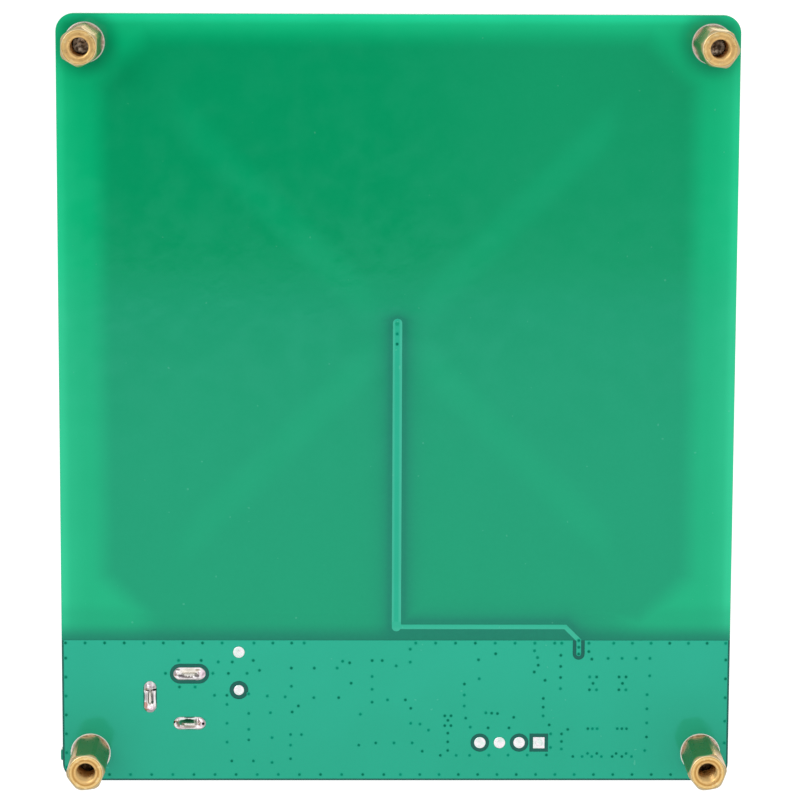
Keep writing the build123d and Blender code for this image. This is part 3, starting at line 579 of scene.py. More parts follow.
def oblong(length, width, low, high, easing):
    # a slot-shaped block: a round one whose halves are drawn apart
    shape = bmesh.new()
    bmesh.ops.create_circle(shape, cap_ends=True, segments=30, radius=width / 2 * millimetre)
    for vert in shape.verts:
        vert.co.x += math.copysign((length - width) / 2 * millimetre, vert.co.x)
    top = freshVerts(bmesh.ops.extrude_face_region(shape, geom=shape.faces[:]))
    bmesh.ops.translate(shape, vec=spot(0, 0, high - low), verts=top)
    faceOut(shape)
    ease(shape, [e for e in shape.edges if e.calc_face_angle(0) > 1.0], easing)
    bmesh.ops.translate(shape, vec=spot(0, 0, low), verts=shape.verts)
    return shape


def gather(shapes):
    # several shapes as one
    whole = bmesh.new()
    for shape in shapes:
        part = asMesh(shape, "part")
        whole.from_mesh(part)
        bpy.data.meshes.remove(part)
    return whole


def stand(shape, x, y, turn):
    # turns a shape by degrees and sets it in its place
    bmesh.ops.rotate(shape, matrix=Matrix.Rotation(math.radians(turn), 3, "Z"), verts=shape.verts)
    bmesh.ops.translate(shape, vec=spot(x, y), verts=shape.verts)
    return shape


def cut(shape, tool, operation="DIFFERENCE"):
    # one solid cut by another, as a shape of its own
    things = [inScene("cutting", asMesh(part, "cutting")) for part in (shape, tool)]
    change = things[0].modifiers.new("cut", "BOOLEAN")
    change.operation = operation
    change.object = things[1]
    change.solver = "EXACT"
    solid = bmesh.new()
    solid.from_mesh(things[0].evaluated_get(bpy.context.evaluated_depsgraph_get()).data)
    for thing in things:
        mesh = thing.data
        bpy.data.objects.remove(thing)
        bpy.data.meshes.remove(mesh)
    inOrder(solid)
    return solid


# what the solids of each piece are made of, how wide their edges are eased and in how many steps
copper = ("masked_copper", 0.03, 1)
leads = ("tinned_leads", 0.03, 1)
tinned = ("tinned_copper", 0.03, 1)
contact = ("plated_contacts", 0.04, 2)
moulded = ("moulding_compound", 0.05, 2)
eased = {
    "boardLaminate": ("board_laminate", "green_board", 0.06, 1),
    "rearGround": ("rear_ground_plane", *copper),
    "frontGround": ("front_ground_plane", *copper),
    "frontTracks": ("front_tracks", *copper),
    "antennaTurns": ("antenna_spiral", *copper),
    "returnTrack": ("return_track", "masked_copper", 0.04, 2),
    "mountingPads": ("mounting_pads", *tinned),
    "componentPads": ("component_pads", *tinned),
    "jackHousing": ("jack_housing", "black_plastic", 0.25, 3),
    "jackPin": ("jack_centre_pin", "plated_contacts", 0.05, 2),
    "jackRearTerminal": ("jack_rear_terminal", *contact),
    "jackSleeveSpring": ("jack_sleeve_contact", *contact),
    "jackSwitchArm": ("jack_switch_contact", *contact),
    "microcontrollerBody": ("microcontroller_body", *moulded),
    "microcontrollerLeads": ("microcontroller_leads", *leads),
    "driverBodyRight": ("driver_body_right", *moulded),
    "driverBodyLeft": ("driver_body_left", *moulded),
    "driverLeadsRight": ("driver_leads_right", *leads),
    "driverLeadsLeft": ("driver_leads_left", *leads),
    "regulatorBody": ("regulator_body", "moulding_compound", 0.06, 2),
    "regulatorLeads": ("regulator_leads", *leads),
    "diodeBody": ("diode_body", "moulding_compound", 0.06, 2),
    "diodeLeads": ("diode_leads", *leads),
    "amplifierBody": ("amplifier_package", "moulding_compound", 0.04, 2),
    "crystalBase": ("crystal_base", "dark_ceramic", 0.05, 2),
    "crystalLid": ("crystal_lid", "plated_contacts", 0.08, 3),
    "capacitorBase": ("capacitor_base", "black_plastic", 0.1, 2),
    "capacitorCan": ("capacitor_can", "can_aluminium", 0.3, 4),
    "capacitorLeads": ("capacitor_leads", *leads),
    "ledBase": ("led_base", "white_ceramic", 0.04, 1),
    "ledLens": ("led_lens", "clear_resin", 0.12, 3),
    "resistorBodies": ("resistor_bodies", "dark_ceramic", 0.02, 1),
    "resistorEnds": ("resistor_ends", *leads),
    "ceramicBodies": ("ceramic_capacitor_bodies", "tan_ceramic", 0.04, 1),
    "ceramicEnds": ("ceramic_capacitor_ends", "tinned_leads", 0.04, 1),
}
# a small round hollow in the top of a moulded body marks its first lead: corner, inset and radius
firstLead = {
    "microcontrollerBody": ((-1, 1), 0.85, 0.34), "driverBodyRight": ((-1, -1), 0.62, 0.22),
    "driverBodyLeft": ((-1, -1), 0.62, 0.22), "amplifierBody": ((-1, 1), 0.5, 0.16),
}
sharpFrom = 30  # degrees between faces from which an edge is eased
hollowLine = [(0, -0.12), (0.85, -0.11), (1, -0.04), (1.03, 0.1), (0, 0.1)]  # shares of the radius, heights


def easedSolid(node, width, segments):
    # the node's solids with their flat faces joined again and their sharp edges eased
    shape = solidOf(node)
    joinFlats(shape)
    sharp = [e for e in shape.edges if e.is_manifold and e.calc_face_angle(0) > math.radians(sharpFrom)]
    ease(shape, sharp, width, segments)
    return shape


def hollowed(shape, node, corner, inset, radius):
    low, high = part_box(node)
    x = (low.x if corner[0] < 0 else high.x) / millimetre - corner[0] * inset
    y = (low.y if corner[1] < 0 else high.y) / millimetre - corner[1] * inset
    top = high.z / millimetre
    dent = [(share * radius, top + height) for share, height in hollowLine]
    return cut(shape, lathe(dent, 24, (x, y, 0)))


print("eased pieces")
for name, (node, slotName, width, segments) in eased.items():
    shape = easedSolid(node, width, segments)
    if name in firstLead:
        shape = hollowed(shape, node, *firstLead[name])
    weigh(addPiece(name, shape, slotName, [node], finish=ownFinishes.get(name)))

standoffLook = {
    "bore": 1.25, "mouth": 1.44, "throat": 1.2, "sink": 0.16, "shoulder": 5.74, "ease": 0.05,
    "easeFrom": 1.5, "countersinkReach": 1.9, "endDepth": 2.0, "valley": 1.42, "crest": 1.19,
    "threadPitch": 0.5, "threadStart": 0.12, "rootHalf": 0.21, "crestHalf": 0.05, "rootBite": 0.03,
    "turnSteps": 20,
    "turned": [(0, -1), (0, 0), (2.08, 0), (2.17, 0.04), (2.4, 0.3), (2.46, 0.42), (2.46, 9.8), (2.4, 9.93),
               (2.4, 11), (0, 11)],
    "ring": [(1.86, 0.02), (1.9, -0.008), (1.95, -0.012), (2.0, -0.008), (2.04, 0.02), (1.86, 0.02)],
}


def threadRidge(start):
    # the ridge of the thread, wound up from start
    look = standoffLook
    ridge = bmesh.new()
    bmesh.ops.create_circle(ridge, cap_ends=True, segments=4, radius=1.0)
    root = look["valley"] + look["rootBite"]
    corners = ((root, -look["rootHalf"]), (look["crest"], -look["crestHalf"]),
               (look["crest"], look["crestHalf"]), (root, look["rootHalf"]))
    ridge.verts.ensure_lookup_table()
    for vert, (radius, height) in zip(ridge.verts, corners):
        vert.co = spot(radius, 0, height)
    turns = round((look["shoulder"] - look["sink"]) / look["threadPitch"])
    rise = spot(0, 0, look["threadPitch"] / look["turnSteps"])
    bmesh.ops.spin(ridge, geom=ridge.verts[:] + ridge.edges[:] + ridge.faces[:], cent=(0, 0, 0),
                   axis=(0, 0, 1), dvec=rise, angle=2 * math.pi * turns, steps=turns * look["turnSteps"],
                   use_merge=False)
    faceOut(ridge)
    bmesh.ops.translate(ridge, vec=start, verts=ridge.verts)
    return ridge


def addStandoff(name, node):
    look = standoffLook
    low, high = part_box(node)
    centre = (low + high) / 2
    centre.z = 0
    endDepth = look["endDepth"] * millimetre

    def reach(vert):
        return (vert.co - centre).xy.length / millimetre

    # the corners of the hexagon are turned down to a round bar
    shape = cut(solidOf(node), lathe(look["turned"], 96, tuple(centre / millimetre)), "INTERSECT")
    weld(shape)
    joinFlats(shape)
    # the plain bore gives way to a wider one, which the thread's ridge fills
    wall = [f for f in shape.faces if all(reach(v) < look["bore"] + 0.01 for v in f.verts)]
    bmesh.ops.delete(shape, geom=wall, context="FACES")
    # a deep countersink leads in
    for vert in shape.verts:
        if vert.co.z < endDepth and reach(vert) < look["countersinkReach"]:
            sunk = vert.co.z > 0.1 * millimetre
            radius = look["throat" if sunk else "mouth"]
            vert.co.xy = centre.xy + (vert.co - centre).xy.normalized() * radius * millimetre
            vert.co.z = look["sink"] * millimetre if sunk else vert.co.z
    lip = [e for e in shape.edges if e.is_boundary and e.verts[0].co.z < endDepth]
    depth = (look["shoulder"] - look["sink"]) * millimetre
    for grow, sink in ((look["valley"] / look["throat"], 0), (1, depth), (look["bore"] / look["valley"], 0)):
        fresh = freshVerts(bmesh.ops.extrude_edge_only(shape, edges=lip))
        bmesh.ops.scale(shape, vec=(grow, grow, 1), space=Matrix.Translation(-centre), verts=fresh)
        bmesh.ops.translate(shape, vec=(0, 0, sink), verts=fresh)
        lip = [e for e in shape.edges if e.is_boundary and all(v in fresh for v in e.verts)]
    weld(shape, 0.01)
    faceOut(shape)
    rims = [e for e in shape.edges if e.calc_face_angle(0) > 0.4 and reach(e.verts[0]) > look["easeFrom"]]
    ease(shape, rims, look["ease"])
    ridge = threadRidge(centre + spot(0, 0, look["sink"] + look["threadStart"]))
    # a turned ring stands on the end face
    ring = lathe(look["ring"], 60, (centre.x / millimetre, centre.y / millimetre, 0))
    weigh(addPiece(name, gather([shape, ridge, ring]), "brass", [node], sharpAngle=28))


print("standoffs")
for end in ("Far", "Near"):
    for side in ("Right", "Left"):
        addStandoff("standoff" + end + side, "standoff_" + end.lower() + "_" + side.lower())

screwLook = {
    "seat": 11.74, "head": 2.8, "crown": 1.9, "shank": 1.48, "length": 6.0, "ease": 0.05,
    "crownRadius": 5.25, "crownCentre": 3.35, "brim": 0.62, "brimHeight": 0.85, "foot": 0.12, "undercut": 0.1,
    "tipChamfer": 0.38, "tipHollow": 0.12, "tipFlat": 0.35,
    "recess": 3.0, "arm": 0.62, "recessDepth": 1.15, "recessTaper": 0.62,
    "turns": {(1, 1): 20, (-1, 1): 64, (1, -1): 38, (-1, -1): 5},
}


def addScrew(name, across, along):
    look = screwLook
    seat, rim, shank, crown = look["seat"], look["head"], look["shank"], look["seat"] + look["crown"]
    tip = seat - look["length"]
    # a pan head: a low dome that turns down in a tight curve to an upright rim
    profile = [(0, crown)] + arc((0, seat - look["crownCentre"]), look["crownRadius"], 84, 66, 5)
    profile += arc((rim - look["brim"], seat + look["brimHeight"]), look["brim"], 52, 0, 6)
    profile += [(rim, seat + look["foot"]), (rim - look["undercut"], seat), (shank, seat)]
    profile += [(shank, tip + look["tipChamfer"]), (shank - look["tipChamfer"], tip), (look["tipFlat"], tip),
                (0, tip + look["tipHollow"])]
    body = lathe(profile)
    half, arm, top = look["recess"] / 2, look["arm"] / 2, crown + 0.5
    floor = crown - look["recessDepth"]
    arms = [block((-x, -y, floor), (x, y, top)) for x, y in ((half, arm), (arm, half))]
    cross = cut(*arms, "UNION")
    for vert in cross.verts:
        if vert.co.z < (floor + 0.1) * millimetre:
            vert.co.xy = vert.co.xy * look["recessTaper"]
    body = cut(body, cross)
    upper = (seat + 0.9) * millimetre
    rims = [e for e in body.edges if e.calc_face_angle(0) > 0.5 and e.verts[0].co.z > upper]
    ease(body, rims, look["ease"])
    stand(body, across * holeReach[0], along * holeReach[1], look["turns"][across, along])
    weigh(addPiece(name, body, "plated_steel", ["standoff_screws"]))


print("screws")
for along, end in ((1, "Far"), (-1, "Near")):
    for across, side in ((1, "Right"), (-1, "Left")):
        addScrew("screw" + end + side, across, along)

padLook = {
    "face": 10.0, "proud": 0.07, "sunk": 0.05, "squareSunk": 0.06, "squareEase": 0.045,
    # shares of the half width and heights over the crest
    "ring": [(0, 0.02), (0.25, 0.024), (0.48, 0.035), (0.56, 0.035), (0.64, 0.006), (0.78, 0), (0.9, 0.012),
             (0.98, 0.04)],
    "plug": [(0, 0.03), (0.3, 0.034), (0.42, 0.03), (0.48, -0.02), (0.48, -0.3), (0, -0.3)],
}
padRow = -44.36
powerPlaces = [(20.25, -32.41, 1.5), (20.25, -37.41, 1.34)]
squarePlace = (-18.47, padRow, 1.5)
testPlaces = [(x, padRow, 1.5) for x in (-15.93, -13.39, -10.85)]


def roundPad(x, y, width):
    # a tinned ring that stands a little proud around a plated hole filled with solder
    half, crest = width / 2, padLook["face"] - padLook["proud"]
    back = padLook["face"] + padLook["sunk"]
    profile = [(share * half, crest + height) for share, height in padLook["ring"]]
    return lathe(profile + [(half, back), (0, back)], 36, (x, y, 0))


def squarePad(x, y, width):
    half, crest = width / 2, padLook["face"] - padLook["proud"]
    back = padLook["face"] + padLook["squareSunk"]
    plate = block((x - half, y - half, crest), (x + half, y + half, back))
    ease(plate, plate.edges[:], padLook["squareEase"])
    hole = [(radius, crest + height) for radius, height in padLook["plug"]]
    return cut(plate, lathe(hole, 30, (x, y, 0)))


jointForm = {
    "length": 4.15, "width": 1.7, "steps": (64, 28), "crest": 9.93, "foot": 10.02, "back": 10.12,
    "plug": (3.3, 1.0, 10.1, 11.72, 0.06),
}


def solderJoint(x, y, turn, waist, bumps):
    # a puddle of solder on an oblong pad, raised and sunk by soft bumps: x, y, spread x, spread y, rise
    form = jointForm
    shape = bmesh.new()
    bmesh.ops.create_grid(shape, x_segments=form["steps"][0], y_segments=form["steps"][1], size=1.0)
    reach, half = form["length"] / 2, form["width"] / 2
    for vert in shape.verts:
        across, along = vert.co.y, math.sin(vert.co.x * math.pi / 2) * 0.999
        px = along * reach
        beyond = max(abs(px) - (reach - half), 0)
        py = across * math.sqrt(max(half * half - beyond * beyond, 0)) * (1 - waist * math.exp(-px * px))
        rise = sum(height * math.exp(-((px - bx) / sx) ** 2 - ((py - by) / sy) ** 2)
                   for bx, by, sx, sy, height in bumps)
        edge = 1 - max(abs(across), beyond / half) ** 6
        vert.co = spot(px, py, form["foot"] - (form["foot"] - form["crest"] + rise) * max(edge, 0))
    for vert in freshVerts(bmesh.ops.extrude_face_region(shape, geom=shape.faces[:])):
        vert.co.z = form["back"] * millimetre
    weld(shape, 0.001)
    faceOut(shape)
    return gather([stand(part, x, y, turn) for part in (shape, oblong(*form["plug"]))])


# each mark of painted light and shade is x, y, reach x, reach y, tone and share
jointLook = {
    "terminal": {"place": (26.6, -35.25), "turn": 0, "waist": 0.0, "bumps": [
        (0.0, 0.25, 1.5, 0.35, 0.22), (1.55, 0.1, 0.35, 0.5, 0.16), (-1.5, 0.0, 0.3, 0.5, 0.15),
        (0.3, -0.3, 1.0, 0.12, -0.12), (-1.0, -0.35, 0.3, 0.2, 0.14), (0.2, -0.62, 1.2, 0.12, 0.1)],
        "marks": [
        (0.0, 0.36, 1.25, 0.42, (226, 218, 202), 0.8), (1.45, 0.55, 0.3, 0.1, (112, 100, 104), 0.9),
        (-1.05, 0.54, 0.38, 0.13, (150, 130, 110), 0.8), (0.98, -0.28, 0.5, 0.22, (92, 82, 88), 0.9),
        (0.42, -0.2, 0.1, 0.26, (110, 100, 104), 0.9), (0.05, -0.22, 0.1, 0.3, (84, 78, 82), 0.95),
        (-0.34, -0.22, 0.09, 0.24, (112, 102, 104), 0.9), (-0.92, -0.22, 0.42, 0.22, (104, 94, 96), 0.9),
        (-1.2, 0.1, 0.13, 0.3, (168, 140, 140), 0.7), (-1.7, 0.0, 0.36, 0.6, (236, 208, 222), 0.8),
        (1.8, 0.0, 0.26, 0.5, (240, 222, 228), 0.7), (0.2, -0.5, 1.1, 0.09, (140, 130, 132), 0.7)]},
    "sleeve": {"place": (26.6, -41.8), "turn": 0, "waist": 0.0, "bumps": [
        (-1.55, 0.1, 0.4, 0.6, 0.28), (1.45, 0.3, 0.35, 0.35, 0.2), (0.1, 0.0, 1.1, 0.32, -0.2),
        (0.0, -0.62, 1.4, 0.14, 0.16), (0.0, 0.62, 1.2, 0.1, 0.08), (1.2, -0.2, 0.25, 0.3, 0.18)],
        "marks": [
        (1.45, 0.0, 0.3, 0.6, (150, 124, 118), 0.9), (0.4, -0.42, 1.5, 0.16, (180, 156, 150), 0.85),
        (0.3, -0.36, 1.1, 0.07, (236, 226, 222), 0.9), (-1.5, 0.0, 0.5, 0.75, (240, 220, 228), 0.7),
        (-0.82, 0.2, 0.12, 0.55, (116, 92, 94), 0.9), (-1.15, 0.4, 0.1, 0.36, (140, 112, 116), 0.85),
        (0.36, 0.16, 1.3, 0.52, (50, 130, 95), 1.0), (0.2, 0.44, 0.9, 0.18, (18, 78, 56), 0.9),
        (0.1, 0.86, 0.9, 0.18, (24, 84, 66), 0.95), (0.85, 0.6, 0.3, 0.12, (236, 240, 238), 0.9),
        (-0.5, 0.6, 0.34, 0.12, (226, 240, 234), 0.9), (-1.72, 0.02, 0.2, 0.2, (8, 14, 14), 1.0),
        (2.02, 0.16, 0.17, 0.2, (10, 30, 26), 1.0)]},
    "switch": {"place": (31.68, -38.3), "turn": 90, "waist": 0.14, "bumps": [
        (1.4, 0.0, 0.45, 0.6, 0.3), (-1.5, 0.1, 0.4, 0.55, 0.26), (0.0, 0.35, 1.0, 0.1, 0.14),
        (0.0, -0.35, 1.0, 0.1, 0.14), (0.1, 0.0, 0.9, 0.12, -0.08), (0.75, -0.4, 0.15, 0.25, -0.18)],
        "marks": [
        (0.1, 1.58, 0.45, 0.17, (196, 172, 186), 0.8), (-0.25, 1.35, 0.4, 0.1, (150, 134, 140), 0.8),
        (0.22, -0.05, 0.09, 0.95, (124, 118, 120), 0.9), (-0.29, -0.15, 0.1, 0.85, (104, 104, 104), 0.9),
        (-0.3, -0.66, 0.17, 0.24, (70, 92, 82), 0.95), (0.56, -1.05, 0.28, 0.46, (184, 124, 104), 0.85),
        (-0.1, -1.55, 0.6, 0.42, (236, 210, 220), 0.75), (0.6, 0.1, 0.1, 0.8, (170, 160, 160), 0.8),
        (0.88, 0.0, 0.12, 0.8, (16, 76, 58), 1.0), (-0.9, 0.0, 0.13, 0.7, (20, 96, 74), 1.0),
        (0.15, 0.86, 0.5, 0.12, (92, 72, 76), 0.95), (-0.56, 0.96, 0.34, 0.16, (14, 12, 12), 1.0)]},
}

print("pads and solder")
powerShapes = [roundPad(*place) for place in powerPlaces]
weigh(addPiece("powerPads", gather(powerShapes), "tinned_copper", ["power_pads"]))
testShapes = [squarePad(*squarePlace)] + [roundPad(*place) for place in testPlaces]
weigh(addPiece("testPads", gather(testShapes), "tinned_copper", ["test_pads"]))
for name, look in jointLook.items():
    x, y = look["place"]
    joint = solderJoint(x, y, look["turn"], look["waist"], look["bumps"])
    addPiece(name + "Joint", joint, "solder", ["jack_solder"], 60,
             solderFinish(name + "JointFinish", (x, y), look["marks"]))

filletLook = {
    "line": [(-0.02, 1.0), (0.02, 0.82), (0.07, 0.45), (0.15, 0.18), (0.26, 0.04)], "base": -0.02,
    "capShare": 0.66, "capMost": 0.6, "leadHeight": 0.15,
    "caps": {"resistor_ends": "resistor_bodies", "ceramic_capacitor_ends": "ceramic_capacitor_bodies"},
    "leads": {"microcontroller_leads": "microcontroller_body", "driver_leads_right": "driver_body_right",
              "driver_leads_left": "driver_body_left", "regulator_leads": "regulator_body",
              "diode_leads": "diode_body", "capacitor_leads": "capacitor_base"},
}


def looseBoxes(node):
    # the corners of each separate solid of a node
    shape = solidOf(node)
    left, boxes = set(shape.verts), []
    while left:
        front = [left.pop()]
        solid = list(front)
        while front:
            near = {e.other_vert(v) for v in front for e in v.link_edges} & left
            left -= near
            front = list(near)
            solid += front
        boxes.append([Vector(limit(v.co[i] for v in solid) for i in range(3)) for limit in (min, max)])
    shape.free()
    return sorted(boxes, key=lambda box: tuple(box[0]))


def solderFillet(low, high, core, height):
    # a concave ramp of solder on the side of an end that looks away from the core
    centre, middle = (low + high) / 2, (core[0] + core[1]) / 2
    beyond = [max(high[i] - core[1][i], core[0][i] - low[i]) for i in (0, 1)]
    axis = 0 if beyond[0] > beyond[1] else 1
    side = math.copysign(1, centre[axis] - middle[axis])
    face = high[axis] if side > 0 else low[axis]
    line = [(reach, share * height) for reach, share in filletLook["line"]]
    line += [(line[-1][0], filletLook["base"]), (line[0][0], filletLook["base"])]
    shape = bmesh.new()
    corners = []
    for reach, rise in line:
        place = Vector((0, 0, low.z + rise * millimetre))
        place[axis] = face + side * reach * millimetre
        place[1 - axis] = low[1 - axis]
        corners.append(shape.verts.new(place))
    shape.faces.new(corners)
    across = Vector((0, 0, 0))
    across[1 - axis] = high[1 - axis] - low[1 - axis]
    far = freshVerts(bmesh.ops.extrude_face_region(shape, geom=shape.faces[:]))
    bmesh.ops.translate(shape, vec=across, verts=far)
    faceOut(shape)
    return shape


def nearest(boxes, low, high):
    middle = (low + high) / 2
    return min(boxes, key=lambda box: ((box[0] + box[1]) / 2 - middle).length)


print("solder fillets")
fillets = []
for ends, cores in filletLook["caps"].items():
    bodies = looseBoxes(cores)
    for low, high in looseBoxes(ends):
        height = min((high.z - low.z) / millimetre * filletLook["capShare"], filletLook["capMost"])
        fillets.append(solderFillet(low, high, nearest(bodies, low, high), height))
for ends, cores in filletLook["leads"].items():
    for low, high in looseBoxes(ends):
        fillets.append(solderFillet(low, high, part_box(cores), filletLook["leadHeight"]))
print(len(fillets), "fillets")
addPiece("solderFillets", gather(fillets), "solder", (), 50)

viaLook = {
    "line": [(0, 0), (0.28, 0), (0.19, 0.007), (0.1, 0.013), (0, 0.0145)], "steps": 10,
    "rear": 9.999, "front": 11.741, "frontCopper": 11.74, "clearance": 0.28, "lookFrom": 30.0,
}


def row(start, end, count):
    # evenly spaced places from start to end
    run = (end[0] - start[0], end[1] - start[1])
    return [(start[0] + run[0] * i / (count - 1), start[1] + run[1] * i / (count - 1)) for i in range(count)]


def quincunx(x, y):
    # five places as on a die
    return [(x - 0.45, y + 0.85), (x + 0.45, y + 0.85), (x, y), (x - 0.45, y - 0.85), (x + 0.45, y - 0.85)]


viaPlaces = {
    "topFence": row((42.5, -31.2), (22.4, -31.2), 9) + row((18.3, -31.2), (13.45, -31.2), 3)
    + row((-2.5, -31.2), (-20.4, -31.2), 8) + row((-28.0, -31.2), (-42.45, -31.2), 7)
    + [(11.85, -31.2), (-21.3, -31.2), (-24.8, -31.2)],
    "bottomFence": row((37.0, -48.6), (1.55, -48.6), 14) + row((-0.6, -48.6), (-35.6, -48.6), 15),
    "rightColumn": row((42.5, -33.2), (42.5, -45.7), 6) + [(42.5, -47.6)],
    "leftColumn": row((-42.5, -33.4), (-42.5, -38.4), 3) + row((-42.5, -41.5), (-42.5, -44.4), 2),
    "aroundJack": [(28.0, -33.5), (25.1, -33.5), (22.9, -33.7), (21.1, -33.7), (18.4, -33.5), (29.7, -35.2),
                   (23.6, -35.2), (21.6, -35.2), (19.2, -35.2), (17.6, -34.8), (27.9, -37.0), (25.9, -37.0),
                   (23.4, -38.1), (21.8, -38.1), (19.0, -37.9), (16.6, -38.2), (14.3, -38.3), (21.8, -39.3),
                   (21.8, -41.8), (21.8, -44.3), (21.2, -46.8), (18.4, -46.8), (16.0, -47.0), (13.6, -46.5)],
    "regulatorField": row((19.0, -40.5), (13.4, -40.3), 3)
    + [(12.6, -39.5), (19.0, -42.6), (19.0, -44.0), (16.0, -43.7), (13.6, -43.3), (12.2, -43.3),
       (13.6, -44.7)],
    "canField": row((13.5, -34.5), (7.6, -34.5), 3)
    + [(6.9, -33.6), (6.0, -33.8), (13.5, -36.9), (5.8, -36.5), (10.6, -38.4), (7.4, -38.4), (4.6, -40.6),
       (4.8, -44.7)],
    "crystalField": row((3.1, -35.6), (3.1, -39.0), 3) + row((2.6, -44.4), (-2.1, -44.4), 3)
    + row((-9.54, -46.05), (-19.48, -46.0), 5)
    + [(3.1, -33.5), (1.8, -33.5), (0.0, -34.2), (-1.8, -32.0), (-1.8, -33.7), (1.1, -38.7), (-1.2, -38.7),
       (-1.9, -39.8), (-1.9, -41.8), (-3.1, -41.9), (-4.2, -42.7), (-3.4, -45.5), (-5.75, -46.05),
       (-7.8, -46.05)],
    "amplifierField": row((-6.7, -43.1), (-6.7, -45.4), 3)
    + [(-6.3, -40.8), (-7.1, -40.8), (-6.7, -41.4), (-6.3, -42.1), (-7.1, -42.1)],
    "controllerField": row((-8.8, -36.6), (-8.8, -39.5), 3) + row((-11.6, -40.4), (-13.1, -40.5), 3)
    + [(-9.0, -41.1), (-9.6, -42.3), (-11.9, -42.4), (-14.6, -42.4), (-15.2, -41.0), (-10.6, -33.4),
       (-10.7, -35.9), (-12.8, -32.6)],
    "resistorField": row((-19.0, -38.5), (-19.0, -40.8), 3) + row((-21.2, -32.8), (-21.2, -37.2), 4)
    + row((-21.4, -43.2), (-21.4, -45.2), 3)
    + [(-17.8, -32.2), (-18.2, -33.1), (-18.3, -34.1), (-17.8, -35.0), (-19.2, -36.1), (-19.8, -42.0),
       (-20.0, -43.2), (-20.0, -45.0), (-22.2, -42.6)],
    "driverFence": row((-27.3, -33.2), (-32.7, -33.2), 4) + row((-32.4, -38.0), (-32.4, -43.6), 4)
    + [(-24.8, -32.3), (-25.2, -33.3), (-32.7, -35.5), (-32.2, -45.4)],
    "underDrivers": quincunx(-25.4, -36.5) + quincunx(-29.2, -36.5),
    "underChips": row((-24.8, -42.5), (-26.0, -42.5), 3) + row((-28.6, -42.5), (-29.8, -42.5), 3)
    + row((-24.1, -46.2), (-26.6, -46.2), 3) + row((-28.0, -46.2), (-30.5, -46.2), 3)
    + row((-24.8, -45.8), (-26.0, -45.8), 2) + row((-28.5, -45.8), (-29.8, -45.8), 2) + [(-22.9, -46.2)],
    "antennaHeart": row((0.05, 10.25), (0.05, 7.65), 3),
    "landing": row((-23.5, -30.85), (-23.5, -32.63), 3),
}


def viaPlugs(places, level, side):
    # the same low, soft-edged plug of mask at every place, side is -1 for the rear
    plug = lathe([(radius, side * rise) for radius, rise in viaLook["line"]], viaLook["steps"])
    if plug.calc_volume(signed=True) < 0:
        bmesh.ops.reverse_faces(plug, faces=plug.faces)
    unit = asMesh(plug, "viaUnit")
    shape = bmesh.new()
    for x, y in places:
        first = len(shape.verts)
        shape.from_mesh(unit)
        shape.verts.ensure_lookup_table()
        bmesh.ops.translate(shape, vec=spot(x, y, level), verts=shape.verts[first:])
    bpy.data.meshes.remove(unit)
    return shape


def openToFront(places):
    # the places where nothing covers the front ground plane, the antenna or a land over a via
    scene = bpy.context.scene
    graph = bpy.context.evaluated_depsgraph_get()
    wide = viaLook["clearance"]
    around = [(0, 0), (wide, 0), (-wide, 0), (0, wide), (0, -wide)]
    level = viaLook["frontCopper"] * millimetre

    def clear(x, y):
        starts = [spot(x + dx, y + dy, viaLook["lookFrom"]) for dx, dy in around]
        hits = [scene.ray_cast(graph, start, Vector((0, 0, -1))) for start in starts]
        return all(hit[0] and abs(hit[1].z - level) < 0.01 * millimetre for hit in hits)

    return [place for place in places if clear(*place)]


print("vias")
viaSpots = [place for group in viaPlaces.values() for place in group]
frontSpots = openToFront(viaSpots)
for name, spots, level, side in (("rearVia", viaSpots, viaLook["rear"], -1),
                                 ("frontVia", frontSpots, viaLook["front"], 1)):
    addPiece(name + "s", viaPlugs(spots, level, side), "masked_copper",
             finish=viaFinish(name + "Finish", level, side))
print(len(viaSpots), "vias at the rear,", len(frontSpots), "open to the front")

studio = {
    "cameraPlace": (7.372, 74.368, -453.477), "aim": (-0.343, 0.458, 10.07), "roll": 0.245, "lens": 165.94,
    "floorSize": 4.0, "floorGlow": (232, 231, 228), "floorTones": ((164, 163, 161), (170, 169, 167)),
    "white": 1.15, "sides": 0.47, "turnToWhite": (0.35, 0.85),
    # a darker patch around the way straight down, as shares of the depth
    "patchDark": 0.03, "patchPale": 0.38, "patchEdge": -0.127, "patchSoft": 0.006, "patchFar": (0.1, 0.04),
    "patchSide": (0.24, 0.17), "patchDepth": (-0.5, -0.7), "patchTurn": (-0.008, -0.05),
    # place, aim, size and power
    "lights": {"upperLight": ((-0.5, 0.6, 1.2), (0, 0, 0), 0.9, 4.0),
               "lowerLight": ((0.6, 0.5, -1.0), (0, 0, 0), 0.5, 1.5)},
}


def addCamera():
    data = bpy.data.cameras.new("studioCamera")
    data.sensor_width = 36.0
    data.lens = studio["lens"]
    data.clip_start = 0.01
    data.clip_end = 20.0
    camera = inScene("studioCamera", data)
    bpy.context.scene.camera = camera
    place = spot(*studio["cameraPlace"])
    away = (spot(*studio["aim"]) - place).normalized()
    right = away.cross(Vector((0, 1, 0))).normalized()
    up = right.cross(away)
    roll = math.radians(studio["roll"])
    turned = right * math.cos(roll) + up * math.sin(roll)
    turnedUp = up * math.cos(roll) - right * math.sin(roll)
    turn = Matrix((turned, turnedUp, -away)).transposed()
    camera.matrix_world = Matrix.Translation(place) @ turn.to_4x4()


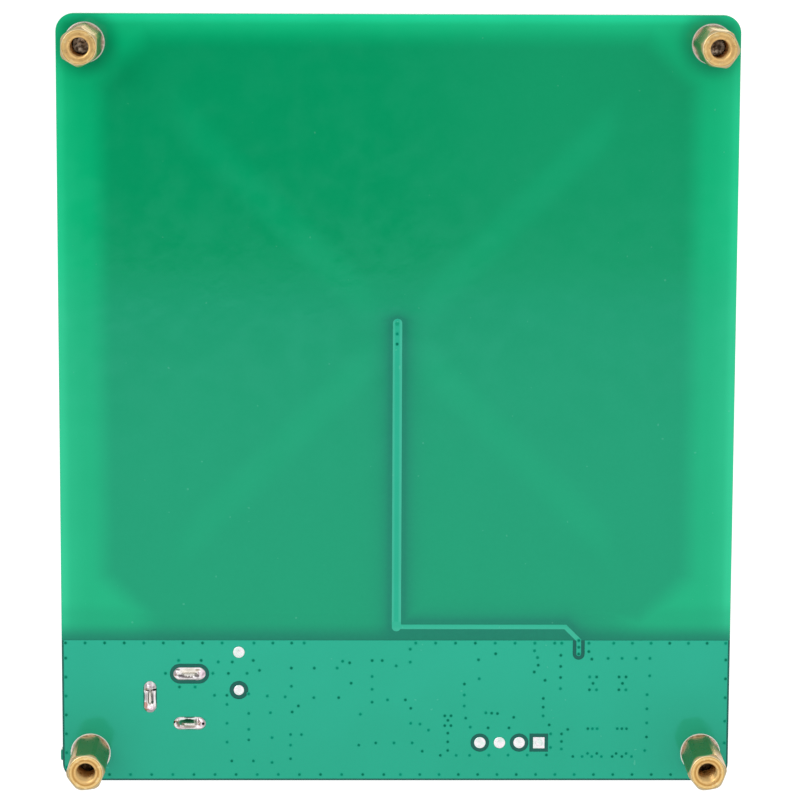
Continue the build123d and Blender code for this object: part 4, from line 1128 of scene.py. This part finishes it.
def addFloor():
    # pale and plain; from below it lets the eye and the light through
    shape = bmesh.new()
    bmesh.ops.create_grid(shape, x_segments=1, y_segments=1, size=studio["floorSize"] / 2)
    finish = Finish("studioFloorFinish", Roughness=0.7, Emission_Color=paint(studio["floorGlow"]),
                    Emission_Strength=0.5)
    finish.use("Base Color", finish.mix(finish.patches(60.0), *studio["floorTones"]))
    below = finish.node("ShaderNodeNewGeometry", output="Backfacing")
    clear = finish.node("ShaderNodeBsdfTransparent")
    opaque = Signal(finish, finish.shader.outputs[0])
    shown = finish.node("ShaderNodeMixShader", None, {0: below, 1: opaque, 2: clear})
    finish.feed(finish.end, shown)
    mesh = asMesh(shape, "studioFloor")
    mesh.materials.append(finish.material)
    floor = inScene("studioFloor", mesh)
    for ray in ("visible_shadow", "visible_diffuse", "visible_glossy", "visible_transmission"):
        setattr(floor, ray, False)


def addWorld():
    # white above and below, grey around, with a darker patch that the mask reflects in the far half
    world = bpy.data.worlds.new("studioWorld")
    bpy.context.scene.world = world
    world.use_nodes = True
    sheet = Sheet(world.node_tree)
    x, y, z = sheet.split(sheet.node("ShaderNodeTexCoord", output="Generated"))
    height = abs(z)
    level = height.ramp(*studio["turnToWhite"], studio["sides"], studio["white"])
    slope, sway = y / height.most(0.05), x / height.most(0.05)
    edge, soft = studio["patchEdge"], studio["patchSoft"]
    dark = slope.ramp(edge - soft, edge + soft) * slope.ramp(*studio["patchFar"])
    dark = dark * abs(sway).ramp(*studio["patchSide"]) * z.ramp(*studio["patchDepth"])
    patch = sway.ramp(*studio["patchTurn"], studio["patchDark"], studio["patchPale"])
    level = level + (patch - level) * dark
    values = {"Color": sheet.join(level, level, level), "Strength": 1.0}
    glow = sheet.node("ShaderNodeBackground", None, values)
    end = world.node_tree.nodes.new("ShaderNodeOutputWorld")
    sheet.feed(end.inputs[0], glow)


def addLight(name, place, aim, size, power):
    data = bpy.data.lights.new(name, "AREA")
    data.shape = "DISK"
    data.size = size
    data.energy = power
    light = inScene(name, data)
    light.location = place
    light.rotation_euler = (Vector(aim) - Vector(place)).to_track_quat("-Z", "Y").to_euler()


print("camera, floor and lights")
bpy.context.scene.view_settings.view_transform = "Standard"
addCamera()
addFloor()
addWorld()
for name, look in studio["lights"].items():
    addLight(name, *look)
